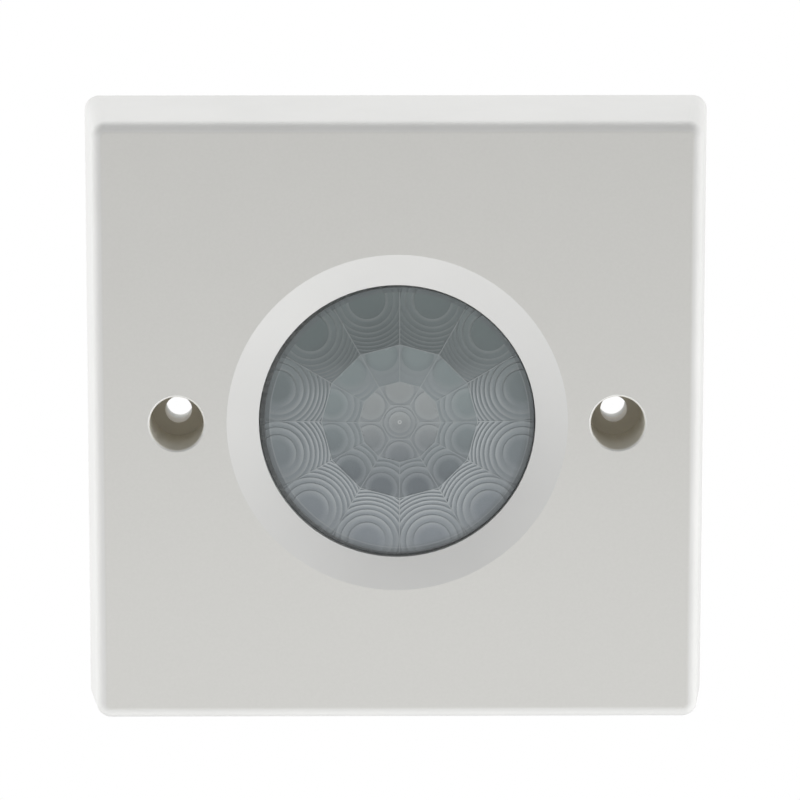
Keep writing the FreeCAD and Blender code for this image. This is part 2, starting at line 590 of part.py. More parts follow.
def cross_outline(x, z, wide, thick):
    """Corners of a plus sign centred on x, z."""
    far, near = f"({wide}) / 2", f"({thick}) / 2"
    arms = [(near, far), (near, near), (far, near)]
    corners = []
    for a, b in ((1, 1), (1, -1), (-1, -1), (-1, 1)):
        quarter = arms if a == b else arms[::-1]
        corners += [(f"{x} + {a} * {right}", f"{z} + {b} * {up}") for right, up in quarter]
    return corners


def make_board_screws():
    """Four small screws that hold the circuit board to its pillars."""
    screws = new_body("board_screws", many=True)
    heads = across(screws, "board_front")
    for x, z in PILLARS:
        add_circle(heads, x, z, "board_head")
    pad(screws, heads, "cover_head_high")
    shanks = across(screws, "board_front")
    for x, z in PILLARS:
        add_circle(shanks, x, z, "board_screw")
    pad(screws, shanks, "board_screw_long", to_rear=True)
    slots = across(screws, "board_front - cover_head_high")
    for x, z in PILLARS:
        add_outline(slots, cross_outline(x, z, "board_cross", "slot_wide"))
    pocket(screws, slots, "slot_deep")
    soften(screws, "Chamfer", "cover_head_high / 4",
           lambda edge: lies_at(edge, "board_front - cover_head_high") and is_round(edge, "board_head"))
    return screws


def polar(radius, degrees):
    """Point in the XZ plane at the depth's origin."""
    angle = math.radians(degrees)
    return FreeCAD.Vector(radius * math.cos(angle), 0, radius * math.sin(angle))


def zone_body(centre, tilt, depth, zone, rings, far, inner, buried):
    """Stepped lens of one cell, turned about the line from the dome's centre through its optical axis."""
    bottom = inner + buried
    edges = [0] + [zone + (far - zone) * step / rings for step in range(rings + 1)]

    def at(radius, height):
        swing = radius / inner
        return FreeCAD.Vector(height * math.sin(swing), 0, height * math.cos(swing))

    # the first zone is a cap of a sphere whose centre lies on the optical axis
    rim = at(edges[1], inner)
    sag = rim.z - inner + depth
    radius = (rim.x ** 2 + sag ** 2) / (2 * sag)
    half_way = math.asin(rim.x / radius) / 2
    lift = radius * (1 - math.cos(half_way))
    middle = FreeCAD.Vector(radius * math.sin(half_way), 0, inner - depth + lift)
    lines = [Part.Arc(at(0, inner - depth), middle, rim).toShape()]
    for near, outer in zip(edges[1:], edges[2:]):
        lines.append(Part.makeLine(at(near, inner), at(near, inner - depth)))
        lines.append(Part.makeLine(at(near, inner - depth), at(outer, inner)))
    lines.append(Part.makeLine(at(edges[-1], inner), at(edges[-1], bottom)))
    lines.append(Part.Arc(at(edges[-1], bottom), at(edges[-1] / 2, bottom), at(0, bottom)).toShape())
    lines.append(Part.makeLine(at(0, bottom), at(0, inner - depth)))
    face = Part.Face(Part.Wire(lines))
    solid = face.revolve(FreeCAD.Vector(), FreeCAD.Vector(0, 0, 1), 360)
    solid.Placement = FreeCAD.Placement(centre, FreeCAD.Rotation(FreeCAD.Vector(0, 0, 1), tilt))
    return solid


def make_fresnel_lens():
    """Shallow dome with 31 stepped lenses on its inner side: twelve, twelve, six and one."""
    active = value(f"{LENS_WALL} - lens_shoulder")
    rise = value("lens_rise")
    crown = value(f"{FRONT} + lens_sink")
    outer = (active ** 2 + rise ** 2) / (2 * rise)
    inner = outer - value("lens_skin")
    centre = FreeCAD.Vector(0, crown + outer, 0)
    round_off = value("lens_shoulder")
    skirt = value("lens_skirt")
    flange = value(FLANGE)
    flange_front = value(LIP_BACK)
    flange_back = value(FLANGE_BACK)

    def on_dome(radius, sphere):
        return FreeCAD.Vector(radius, centre.y - math.sqrt(sphere ** 2 - radius ** 2), 0)

    edge = on_dome(active, outer)
    wall = active + round_off
    hip = FreeCAD.Vector(active + round_off * math.sin(math.radians(45)),
                         edge.y + round_off * (1 - math.cos(math.radians(45))), 0)
    side = FreeCAD.Vector(wall, edge.y + round_off, 0)
    eave = on_dome(wall - skirt, inner)
    corners = [side, FreeCAD.Vector(wall, flange_front, 0), FreeCAD.Vector(flange, flange_front, 0),
               FreeCAD.Vector(flange, flange_back, 0), FreeCAD.Vector(wall - skirt, flange_back, 0), eave]
    lines = [Part.Arc(on_dome(0, outer), on_dome(active / 2, outer), edge).toShape(),
             Part.Arc(edge, hip, side).toShape()]
    lines += [Part.makeLine(here, there) for here, there in zip(corners, corners[1:])]
    lines.append(Part.Arc(eave, on_dome((wall - skirt) / 2, inner), on_dome(0, inner)).toShape())
    lines.append(Part.makeLine(on_dome(0, inner), on_dome(0, outer)))
    shell = Part.Face(Part.Wire(lines)).revolve(FreeCAD.Vector(), FreeCAD.Vector(0, 1, 0), 360)

    # each ring of cells: how many, inner and outer corner radius, optical centre, first zone, rings
    rims = [value(name) for name in ("inner_cells_from", "middle_cells_from", "outer_cells_from")]
    field = wall - skirt - value("cell_gap")
    pieces = []
    for count, near, far, axis, zone, rings in (
            (12, rims[2], field, value("outer_axis"), value("outer_zone"), int(value("outer_rings"))),
            (12, rims[1], rims[2], value("middle_axis"), value("middle_zone"), 1),
            (6, rims[0], rims[1], value("inner_axis"), value("inner_zone"), 1),
            (1, 0, rims[0], 0, value("centre_zone"), 1)):
        half = 180 / count
        if count == 1:
            corners = [polar(far, 60 * step) for step in range(6)]
        else:
            sides = {12: (-1, 1), 6: (-1, 0, 1)}[count] if far < field else (-1, -0.5, 0, 0.5, 1)
            corners = [polar(near, -half), *[polar(far, half * side) for side in sides], polar(near, half)]
        outline = Part.makePolygon(corners + corners[:1]).makeOffset2D(-value("cell_gap") / 2)
        prism = Part.Face(outline).extrude(FreeCAD.Vector(0, 8, 0))
        prism.translate(FreeCAD.Vector(0, crown - 1, 0))
        reach = max((corner - polar(axis, 0)).Length for corner in corners)
        aim = FreeCAD.Vector(axis, -math.sqrt(inner ** 2 - axis ** 2), 0)
        stepped = zone_body(centre, aim, value("facet_depth"), zone, rings, reach * 1.02, inner,
                            value("lens_skin") / 2)
        cell = stepped.common(prism)
        for copy in range(count):
            turned = cell.copy()
            turned.rotate(FreeCAD.Vector(), FreeCAD.Vector(0, -1, 0), half + 2 * half * copy)
            pieces.append(turned)
    key = Part.makeBox(value("key_wide"), flange_back - flange_front, value("key_long") + 1,
                       FreeCAD.Vector(-value("key_wide") / 2, flange_front, flange - 1))
    solid = shell.multiFuse(pieces + [key]).removeSplitter()
    lens = doc.addObject("Part::Feature", "fresnel_lens")
    lens.Label = "fresnel_lens"
    lens.Shape = solid.Solids[0] if len(solid.Solids) == 1 else solid
    return lens


def make_lens_retainer():
    """Snap-in ring that presses the lens flange against the casing's lip."""
    ring = new_body("lens_retainer")
    profile = new_sketch(ring, "XY_Plane")
    add_outline(profile, [(RETAINER_BORE, FLANGE_BACK), (FLANGE, FLANGE_BACK),
                          (FLANGE, f"{RETAINER_BACK} - retainer_bevel"),
                          (f"{FLANGE} - retainer_bevel", RETAINER_BACK), (RETAINER_BORE, RETAINER_BACK)])
    turn_about(ring, "Revolution", profile)
    notch = across(ring, RETAINER_BACK)
    floor = f"{FLANGE} - retainer_wide / 2"
    add_rectangle(notch, floor, f"{FLANGE} + {PAST}", "-notch_wide / 2", "notch_wide / 2")
    around(ring, pocket(ring, notch, "retainer_thick / 2", to_front=True), 3)
    return ring


def make_sensor_shroud():
    """Black cone from the board to the retainer that keeps draughts and stray light off the sensor."""
    shroud = new_body("sensor_shroud")
    profile = new_sketch(shroud, "XY_Plane")
    foot, rim = "board_front - shroud_foot", f"{RETAINER_BACK} + shroud_rim"
    base = "shroud_base / 2"
    add_outline(profile, [(base, "board_front"), (f"{base} + shroud_wall", "board_front"),
                          (f"{base} + shroud_wall", foot), (f"{SHROUD_MOUTH} + shroud_wall", rim),
                          (f"{SHROUD_MOUTH} + shroud_wall", RETAINER_BACK),
                          (SHROUD_MOUTH, RETAINER_BACK), (SHROUD_MOUTH, rim), (base, foot)])
    turn_about(shroud, "Revolution", profile)
    return shroud


def make_sensor():
    """Pyroelectric sensor: spacer, steel can with a window, and three leads."""
    spacer = new_body("sensor_spacer")
    disc = across(spacer, "board_front")
    add_circle(disc, "0", "0", "can_flange")
    pad(spacer, disc, "spacer_thick")
    holes = across(spacer, "board_front")
    for spot in LEADS:
        add_circle(holes, *spot, "lead_width + 2 * lead_hole")
    pocket(spacer, holes, "spacer_thick", to_front=True)
    can = new_body("sensor_can")
    base = "board_front - spacer_thick"
    flange = across(can, base)
    add_circle(flange, "0", "0", "can_flange")
    pad(can, flange, "can_flange_thick")
    cap = across(can, f"{base} - can_flange_thick / 2")
    add_circle(cap, "0", "0", "can_width")
    pad(can, cap, "can_high - can_flange_thick / 2")
    soften(can, "Fillet", "can_flange_thick",
           lambda edge: lies_at(edge, f"{base} - can_high") and is_round(edge, "can_width"))
    opening = across(can, f"{base} - can_high")
    add_centred(opening, "window_wide", "window_tall")
    pocket(can, opening, "window_thick")
    window = new_body("sensor_window")
    pane = across(window, f"{base} - can_high + window_thick")
    add_centred(pane, "window_wide", "window_tall")
    pad(window, pane, "window_thick")
    leads = new_body("sensor_leads", many=True)
    wires = across(leads, base)
    for spot in LEADS:
        add_circle(wires, *spot, "lead_width")
    pad(leads, wires, "spacer_thick + board_thick + lead_proud", to_rear=True)
    photocell = new_body("photocell")
    button = across(photocell, "board_front")
    add_circle(button, "photocell_x", "0", "photocell_width")
    pad(photocell, button, "photocell_high")
    soften(photocell, "Chamfer", "photocell_high / 5",
           lambda edge: lies_at(edge, "board_front - photocell_high"))
    return [spacer, can, window, leads, photocell]


LEADS = [(f"lead_circle / 2 * cos({angle})", f"lead_circle / 2 * sin({angle})") for angle in (45, 135, 270)]
PIN_WIDE = "(contact_wide / 3)"
PIN_Z = f"({TERMINAL_TOP} - terminal_wall - contact_thick / 2)"


def make_circuit_board():
    """Board drilled for its screws, the sensor's leads and the terminals' pins."""
    board = new_body("circuit_board")
    outline = across(board, "board_front")
    add_centred(outline, f"({CAPSULE_WIDE} - 2 * capsule_wall - 2 * board_gap - 2 * capsule_draft)",
                f"(2 * {BOARD_TOP})")
    pad(board, outline, "board_thick", to_rear=True)
    soften(board, "Fillet", "capsule_round - capsule_wall", runs_deep)
    holes = across(board, "board_front")
    for x, z in PILLARS:
        add_circle(holes, x, z, "board_screw + 2 * pass_gap")
    for spot in LEADS:
        add_circle(holes, *spot, "lead_width + 2 * lead_hole")
    for x in TERMINALS:
        add_centred(holes, f"({PIN_WIDE} + 4 * lead_hole)", "(contact_thick + 4 * lead_hole)", x, PIN_Z)
    pocket(board, holes, "board_thick")
    return board


def make_terminal_housing():
    """Moulded block with a pocket for each clamp, an entry for each wire and a hole for each driver."""
    housing = new_body("terminal_housing")
    block = across(housing, BOARD_BACK)
    add_rectangle(block, f"-{TERMINAL_HALF}", TERMINAL_HALF, TERMINAL_Z, TERMINAL_TOP)
    pad(housing, block, f"{HOUSING_BACK} - {BOARD_BACK}", to_rear=True)
    pockets = across(housing, BOARD_BACK)
    for x in TERMINALS:
        add_rectangle(pockets, f"{x} - clamp_wide / 2 - clamp_gap", f"{x} + clamp_wide / 2 + clamp_gap",
                      POCKET_BASE, f"{TERMINAL_TOP} - terminal_wall")
    pocket(housing, pockets, f"{HOUSING_BACK} - {BOARD_BACK} - terminal_roof")
    drivers = across(housing, BOARD_BACK)
    for x in TERMINALS:
        add_circle(drivers, x, CLAMP_Z, "driver_hole")
    pocket(housing, drivers, f"{HOUSING_BACK} - {BOARD_BACK}")
    entries = new_sketch(housing, "XY_Plane", TERMINAL_Z)
    for x in TERMINALS:
        add_rectangle(entries, f"{x} - wire_entry / 2", f"{x} + wire_entry / 2",
                      f"{CLAMP_FRONT} + clamp_floor", f"{CLAMP_FRONT} + clamp_floor + wire_entry")
    pocket(housing, entries, "terminal_wall", to_front=True)
    # shallow grooves between the terminals on the rear face
    grooves = across(housing, HOUSING_BACK)
    for step in (-1, 0, 1):
        add_centred(grooves, "terminal_groove", f"(terminal_tall - 2 * {PAST})", f"{step} * terminal_pitch",
                    f"({TERMINAL_Z} + terminal_tall / 2)")
    pocket(housing, grooves, "terminal_roof / 3", to_front=True)
    return housing


def make_terminal_contacts():
    """Four bent contact strips, each with a pin soldered through the board."""
    contacts = new_body("terminal_contacts", many=True)
    strips = across(contacts, CONTACT_BACK)
    for x in TERMINALS:
        add_rectangle(strips, f"{x} - contact_wide / 2", f"{x} + contact_wide / 2",
                      f"{POCKET_BASE} + contact_raise", f"{PIN_Z} + contact_thick / 2")
    pad(contacts, strips, "contact_thick")
    legs = across(contacts, CONTACT_BACK)
    for x in TERMINALS:
        add_centred(legs, "contact_wide", "contact_thick", x, PIN_Z)
    pad(contacts, legs, f"{CONTACT_BACK} - {BOARD_BACK}")
    pins = across(contacts, CONTACT_BACK)
    for x in TERMINALS:
        add_centred(pins, PIN_WIDE, "contact_thick", x, PIN_Z)
    pad(contacts, pins, f"{CONTACT_BACK} - board_front + lead_proud")
    return contacts


def make_terminal(number, place):
    """One clamp and its captive screw; turning the screw draws the clamp to the rear."""
    clamp = new_body(f"terminal_clamp_{number}")
    cage = across(clamp)
    add_centred(cage, "clamp_wide", "clamp_tall")
    pad(clamp, cage, CLAMP_DEEP, to_rear=True)
    gap = new_sketch(clamp, "XY_Plane", "-clamp_tall / 2")
    add_rectangle(gap, "-clamp_wide / 2 + clamp_side", "clamp_wide / 2 - clamp_side",
                  "clamp_floor", f"{CLAMP_DEEP} - clamp_nut")
    pocket(clamp, gap, "clamp_tall", to_front=True)
    thread = across(clamp, CLAMP_DEEP)
    add_circle(thread, "0", "0", "terminal_screw + 2 * thread_gap")
    pocket(clamp, thread, "clamp_nut", to_front=True)
    screw = new_body(f"terminal_screw_{number}")
    shank = across(screw)
    add_circle(shank, "0", "0", "terminal_screw")
    pad(screw, shank, f"{HEAD_FRONT} - {CONTACT_BACK} - {OVERLAP}")
    head = across(screw)
    add_circle(head, "0", "0", "terminal_head")
    pad(screw, head, "terminal_head_high - 0.1", to_rear=True)
    slot = across(screw, "terminal_head_high - 0.1")
    add_centred(slot, "(terminal_head + 1)", "slot_wide")
    pocket(screw, slot, "slot_deep", to_front=True)
    for body, depth in ((clamp, CLAMP_FRONT), (screw, HEAD_FRONT)):
        body.setExpression("Placement.Base.x", bound(place))
        body.setExpression("Placement.Base.y", bound(depth))
        body.setExpression("Placement.Base.z", bound(CLAMP_Z))
    return [clamp, screw]


def make_adjuster(name, side):
    """Trimmer body on the board, and the knob that reaches through the capsule's rear wall."""
    base = new_body(f"{name}_adjuster_body")
    block = across(base, BOARD_BACK)
    add_centred(block, "adjuster_side", "adjuster_side", f"{side} * adjuster_x", ADJUSTER_Z)
    pad(base, block, "adjuster_high", to_rear=True)
    soften(base, "Chamfer", "adjuster_side / 10", runs_deep)
    bore = across(base, f"{BOARD_BACK} + adjuster_high")
    add_circle(bore, f"{side} * adjuster_x", ADJUSTER_Z, "spigot_width + 2 * spigot_gap")
    pocket(base, bore, "spigot_long + bore_spare", to_front=True)
    knob = new_body(f"{name}_adjuster_knob")
    top = f"({CAPSULE_BACK} - knob_sink - {BOARD_BACK} - adjuster_high)"
    profile = new_sketch(knob, "XY_Plane")
    add_outline(profile, [("0", "-spigot_long"), ("spigot_width / 2", "-spigot_long"),
                          ("spigot_width / 2", "knob_lift"), ("knob_width / 2", "knob_lift"),
                          ("knob_width / 2", f"{top} - knob_bevel"),
                          ("knob_width / 2 - knob_bevel", top), ("0", top)])
    turn_about(knob, "Revolution", profile)
    slot = across(knob, top)
    add_outline(slot, arrow_outline("knob_width - 1", "slot_wide"))
    pocket(knob, slot, "slot_deep", to_front=True)
    knob.setExpression("Placement.Base.x", bound(f"{side} * adjuster_x"))
    knob.setExpression("Placement.Base.y", bound(f"{BOARD_BACK} + adjuster_high"))
    knob.setExpression("Placement.Base.z", bound(ADJUSTER_Z))
    return [base, knob]


def arrow_outline(long, wide):
    """Corners of an upward arrow, the driver slot of an adjuster's knob."""
    half, tip, wing = f"({wide}) / 2", f"({long}) / 2", f"({wide}) * 1.3"
    neck = f"{tip} - {wing}"
    return [(f"-{half}", f"-{tip}"), (half, f"-{tip}"), (half, neck), (wing, neck),
            ("0", tip), (f"-{wing}", neck), (f"-{half}", neck)]


def make_box_part(label, wide, tall, high, x, z, bevel):
    """Moulded component that stands on the board's rear face."""
    part = new_body(label)
    foot = across(part, BOARD_BACK)
    add_centred(foot, wide, tall, x, z)
    pad(part, foot, high, to_rear=True)
    soften(part, "Chamfer", bevel, lambda edge: lies_at(edge, f"{BOARD_BACK} + {high}"))
    return part


def make_reservoir():
    """Electrolytic capacitor standing on the board, with its crimp groove and scored top."""
    can = new_body("reservoir_capacitor")
    profile = new_sketch(can, "XY_Plane")
    full, neck = "(reservoir_width / 2)", "(reservoir_width / 2 - crimp_deep)"
    add_outline(profile, [("0", "0"), (full, "0"), (full, "crimp_from"), (neck, "crimp_from + crimp_deep"),
                          (neck, "crimp_from + 2 * crimp_deep"), (full, "crimp_from + 3 * crimp_deep"),
                          (full, "reservoir_high - crimp_deep"), (neck, "reservoir_high"),
                          ("0", "reservoir_high")])
    turn_about(can, "Revolution", profile)
    vent = across(can, "reservoir_high")
    add_outline(vent, cross_outline("0", "0", f"reservoir_width - 2 * {PAST}", "2 * vent_deep"))
    pocket(can, vent, "vent_deep", to_front=True)
    can.setExpression("Placement.Base.x", bound("reservoir_x"))
    can.setExpression("Placement.Base.y", bound(BOARD_BACK))
    can.setExpression("Placement.Base.z", bound(RESERVOIR_Z))
    return can


def make_varistor():
    """Coated disc on edge, with its two wires in the board."""
    disc = new_body("varistor")
    lift = f"({BOARD_BACK} + varistor_lift + varistor_width / 2)"
    side = new_sketch(disc, "YZ_Plane", "varistor_x - varistor_thick / 2")
    add_circle(side, lift, VARISTOR_Z, "varistor_width")
    pad(disc, side, "varistor_thick")
    soften(disc, "Chamfer", "varistor_thick / 4", lambda edge: is_round(edge, "varistor_width"))
    wires = across(disc, BOARD_BACK)
    for step in (-1, 1):
        x, z = f"varistor_x + {step} * varistor_thick / 4", f"{VARISTOR_Z} + {step} * varistor_legs / 2"
        add_circle(wires, x, z, "wire_width")
    pad(disc, wires, "varistor_width / 2", to_rear=True)
    return disc


def add_staple(sketch, left, right, low, high, bend):
    """Open path that runs up, across and down again, with a round bend at each corner."""
    spots = [(left, low), (left, f"{high} - {bend}"), (f"{left} + {bend}", high),
             (f"{right} - {bend}", high), (right, f"{high} - {bend}"), (right, low)]
    points = [FreeCAD.Vector(value(x), value(y), 0) for x, y in spots]
    for leg in range(3):
        sketch.addGeometry(Part.LineSegment(points[2 * leg], points[2 * leg + 1]), False)
        for corner in (1, 2):
            fix_point(sketch, leg, corner, spots[2 * leg + corner - 1])
    for leg, side, quarter in ((0, f"{left} + {bend}", 90), (1, f"{right} - {bend}", 0)):
        centre = FreeCAD.Vector(value(side), value(f"{high} - {bend}"), 0)
        circle = Part.Circle(centre, FreeCAD.Vector(0, 0, 1), value(bend))
        arc = Part.ArcOfCircle(circle, math.radians(quarter), math.radians(quarter + 90))
        curve = sketch.addGeometry(arc, False)
        sketch.addConstraint(Sketcher.Constraint("Coincident", curve, 1, leg + 1, 1))
        sketch.addConstraint(Sketcher.Constraint("Coincident", curve, 2, leg, 2))
        index = sketch.addConstraint(Sketcher.Constraint("DistanceX", curve, 3, centre.x))
        sketch.setExpression(f"Constraints[{index}]", bound(side))


def make_fuse_resistor():
    """Resistor that lies above the board on one wire, bent down at both ends."""
    resistor = new_body("fusible_resistor")
    axis = f"({BOARD_BACK} + fuse_lift + fuse_width / 2)"
    reach = "(fuse_long / 2 + wire_reach)"
    path = new_sketch(resistor, "XY_Plane", FUSE_Z)
    add_staple(path, f"fuse_x - {reach}", f"fuse_x + {reach}", BOARD_BACK, axis, "(wire_width)")
    end = across(resistor, BOARD_BACK)
    add_circle(end, f"fuse_x - {reach}", FUSE_Z, "wire_width")
    wire = feature(resistor, "AdditivePipe", end)
    wire.Spine = path
    finish(resistor, wire, False)
    barrel = new_sketch(resistor, "YZ_Plane", "fuse_x - fuse_long / 2")
    add_circle(barrel, axis, FUSE_Z, "fuse_width")
    pad(resistor, barrel, "fuse_long")
    return resistor


def make_rectifier():
    """Four surface-mounted diodes along the board's upper edge, one group of separate solids."""
    diodes = new_body("rectifier_diodes", many=True)
    places = [f"({step} * diode_pitch)" for step in (-1.5, -0.5, 0.5, 1.5)]
    row = f"({BOARD_TOP} - diode_edge)"
    cases = across(diodes, BOARD_BACK)
    for x in places:
        add_centred(cases, "diode_long", "diode_wide", x, row)
    pad(diodes, cases, "diode_high", to_rear=True)
    soften(diodes, "Chamfer", "diode_high / 8", lambda edge: lies_at(edge, f"{BOARD_BACK} + diode_high"))
    tabs = across(diodes, BOARD_BACK)
    for x in places:
        add_centred(tabs, "(diode_long + 2 * diode_tab)", "(diode_wide / 2)", x, row)
    pad(diodes, tabs, "diode_tab", to_rear=True)
    return diodes


def make_control_chip():
    """Small-outline chip on the board's front, with its gull-wing pins."""
    chip = new_body("control_chip")
    case = across(chip, "board_front - chip_lift")
    add_centred(case, "chip_long", "chip_wide", "0", CHIP_Z)
    pad(chip, case, "chip_high - chip_lift")
    soften(chip, "Chamfer", "chip_high / 6", lambda edge: lies_at(edge, "board_front - chip_high"))
    pins = across(chip, "board_front")
    for step in range(7):
        for side in (-1, 1):
            z = f"({CHIP_Z} + {side} * (chip_wide / 2 + chip_pin_out))"
            add_centred(pins, "chip_pin", "chip_pin_long", f"{step - 3} * chip_pin_pitch", z)
    pad(chip, pins, "chip_pin_high")
    return chip


parts = [make_front_casing(), make_rear_cover(), make_cover_screws(), make_fresnel_lens(),
         make_lens_retainer(), make_sensor_shroud(), make_circuit_board(), make_board_screws()]
parts += make_sensor()
parts += [make_terminal_housing(), make_terminal_contacts()]
for number, place in enumerate(TERMINALS, 1):
    parts += make_terminal(number, place)
parts += make_adjuster("time", -1)
parts += make_adjuster("light_level", 1)
parts.append(make_box_part("relay", "relay_long", "relay_wide", "relay_high", "relay_x", RELAY_Z,
                           "relay_bevel"))
parts.append(make_box_part("mains_capacitor", "dropper_long", "dropper_wide", "dropper_high", "dropper_x",
                           DROPPER_Z, "dropper_bevel"))
parts += [make_reservoir(), make_varistor(), make_fuse_resistor(), make_rectifier(), make_control_chip()]
doc.recompute()

for item in doc.Objects:
    if {"Invalid", "Error"} & set(item.State):
        raise RuntimeError(f"{item.Label} is {item.State}")
for part in parts:
    shape = part.Shape
    if shape.isNull() or not shape.isValid() or not shape.Solids:
        raise RuntimeError(f"{part.Label} has no valid solid")
    shape.exportStep(f"parts/{part.Label}.step")
print(len(parts), "sub-parts,", sum(len(part.Shape.Solids) for part in parts), "solids")
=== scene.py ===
import math

import bmesh
import bpy
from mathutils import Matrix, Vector


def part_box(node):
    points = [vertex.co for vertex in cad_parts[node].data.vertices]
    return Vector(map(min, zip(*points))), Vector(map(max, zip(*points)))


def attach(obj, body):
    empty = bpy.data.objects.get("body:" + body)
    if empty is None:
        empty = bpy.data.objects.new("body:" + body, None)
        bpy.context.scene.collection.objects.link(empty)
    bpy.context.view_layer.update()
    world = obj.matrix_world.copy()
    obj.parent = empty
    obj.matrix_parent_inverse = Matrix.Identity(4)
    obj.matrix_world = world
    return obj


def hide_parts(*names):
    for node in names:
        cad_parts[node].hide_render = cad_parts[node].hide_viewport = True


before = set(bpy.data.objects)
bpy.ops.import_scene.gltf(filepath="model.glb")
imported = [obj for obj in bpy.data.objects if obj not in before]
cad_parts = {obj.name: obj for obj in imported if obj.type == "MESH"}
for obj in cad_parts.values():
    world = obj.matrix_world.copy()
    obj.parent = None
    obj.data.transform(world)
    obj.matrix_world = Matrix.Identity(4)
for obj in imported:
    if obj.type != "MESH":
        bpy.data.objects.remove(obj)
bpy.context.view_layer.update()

# Front casing: a square shell moulded in white plastic with a finely eroded satin face, which is painted a
# little darker as shade. It has a dished ring round the lens and a deep recess for each fixing screw, with
# painted shade and light in the recess, and every other piece hangs on it.
CASING_WHITE = (0.815, 0.815, 0.8)
CASING_SHADE = (0.785, 0.785, 0.77)
FACE_PAINTED_SHADE_PALE = (0.775, 0.77, 0.74)
FACE_PAINTED_SHADE_DEEP = (0.735, 0.73, 0.7)
FACE_MOTTLE = 0.0004
FACE_TURNED = 0.975
FACE_FLAT = 0.995
DUST_GREY = (0.42, 0.4, 0.36)
DUST_APART = 0.011
DUST_RADIUS = 0.000066
DUST_SHARE = 0.6
RECESS_MOUTH_PAINTED_SHADE = (0.66, 0.645, 0.58)
RECESS_SEAT_PAINTED_LIGHT = (0.88, 0.84, 0.75)
RECESS_MOUTH = -0.0165
RECESS_SEAT = -0.0065
RECESS_ACROSS = 0.03015
RECESS_WIDE = 0.0074
RECESS_EDGE = 0.00012
FLOW_WIDE = 0.018
SHEEN_WIDE = 0.004
SHEEN_SWING = 0.05
GRAIN_WIDE = 0.00012
GRAIN_DEEP = 0.000004


class Nodes:
    """A tree of shader nodes, with short calls that add to it."""

    def __init__(self, tree):
        self.tree = tree

    def give(self, socket, source):
        """Lead another node's output to a socket, or set a plain value on it."""
        if isinstance(source, bpy.types.NodeSocket):
            self.tree.links.new(source, socket)
        else:
            socket.default_value = source

    def add(self, kind, inputs, output=0, **settings):
        """Add a node, set it up and return one of its outputs."""
        node = self.tree.nodes.new(kind)
        for name, setting in settings.items():
            setattr(node, name, setting)
        for name, source in inputs.items():
            self.give(node.inputs[name], source)
        return node.outputs[output]

    def between(self, source, start, end, low=0.0, high=1.0):
        """Turn start..end of a value into low..high, held at the ends."""
        return self.add("ShaderNodeMapRange", {"Value": source, "From Min": start, "From Max": end,
                                               "To Min": low, "To Max": high})

    def reckon(self, operation, *values):
        """One step of arithmetic on one, two or three values."""
        return self.add("ShaderNodeMath", dict(enumerate(values)), operation=operation)

    def both(self, first, second):
        """One share times another."""
        return self.reckon("MULTIPLY", first, second)

    def blend(self, share, first, second):
        """Blend two values."""
        return self.add("ShaderNodeMix", {0: share, 2: first, 3: second})


class Finish(Nodes):
    """One material being mixed for a surface of the detector."""

    def __init__(self, name, rough):
        self.material = bpy.data.materials.new(name)
        self.material.use_nodes = True
        super().__init__(self.material.node_tree)
        self.shader = self.tree.nodes["Principled BSDF"]
        self.shader.inputs["Roughness"].default_value = rough
        self.place = self.add("ShaderNodeTexCoord", {}, "Object")

    def noise(self, size, detail=2.0):
        """Soft noise whose lumps are about size metres wide."""
        return self.add("ShaderNodeTexNoise", {"Vector": self.place, "Scale": 1 / size, "Detail": detail})

    def clouds(self, size, detail, low=0.0, high=1.0, spread=0.2):
        """Noise that fills low..high: the smaller the spread, the harder its lumps stand apart."""
        return self.between(self.noise(size, detail), 0.5 - spread, 0.5 + spread, low, high)

    def specks(self, apart, radius):
        """1 in soft round specks scattered about apart metres from each other, and 0 between them."""
        off = self.add("ShaderNodeTexVoronoi", {"Vector": self.place, "Scale": 1 / apart})
        return self.between(off, 2 * radius / apart, radius / apart)

    def coordinate(self, axis):
        """Place on the surface along one axis."""
        return self.add("ShaderNodeSeparateXYZ", {0: self.place}, axis)

    def facing(self):
        """1 where the surface faces straight to the front or the rear, and 0 where it faces sideways."""
        normal = self.add("ShaderNodeTexCoord", {}, "Normal")
        return self.reckon("ABSOLUTE", self.add("ShaderNodeSeparateXYZ", {0: normal}, "Y"))

    def from_axis(self, x, z):
        """Distance from the line that runs front to rear through a place across and up."""
        flat = self.add("ShaderNodeVectorMath", {0: self.place, 1: (1.0, 0.0, 1.0)}, operation="MULTIPLY")
        return self.add("ShaderNodeVectorMath", {0: flat, 1: (x, 0.0, z)}, "Value", operation="DISTANCE")

    def disc(self, x, z, radius, edge=0.00005):
        """1 within a radius of a place across and up, and 0 beyond a soft edge."""
        return self.between(self.from_axis(x, z), radius + edge, radius)

    def paint(self, colour):
        """A plain colour with its alpha, or a node's output as it is."""
        return (*colour, 1.0) if isinstance(colour, tuple) else colour

    def mix(self, share, first, second):
        """Blend two colours, which the node takes by its sockets 6 and 7 and gives by its output 2."""
        sources = {0: share, 6: self.paint(first), 7: self.paint(second)}
        return self.add("ShaderNodeMix", sources, 2, data_type="RGBA")

    def colour(self, source):
        """Colour the whole surface."""
        self.give(self.shader.inputs["Base Color"], self.paint(source))

    def cover(self, share, colour):
        """Lay another colour over the first where share is 1."""
        below = self.shader.inputs["Base Color"].links[0].from_socket
        self.colour(self.mix(share, below, colour))

    def rough(self, source):
        """Set how rough the surface is from place to place."""
        self.give(self.shader.inputs["Roughness"], source)

    def relief(self, height, depth):
        """Raise the surface by a height of 0..1 times depth metres, over what was raised before."""
        below = self.shader.inputs["Normal"].links
        inputs = {"Height": height, "Distance": depth}
        if below:
            inputs["Normal"] = below[0].from_socket
        self.give(self.shader.inputs["Normal"], self.add("ShaderNodeBump", inputs))


def dress(finish, *names):
    """Give CAD nodes their finish in place of the frame's plain one."""
    for name in names:
        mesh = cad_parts[name].data
        mesh.materials.clear()
        mesh.materials.append(finish.material)


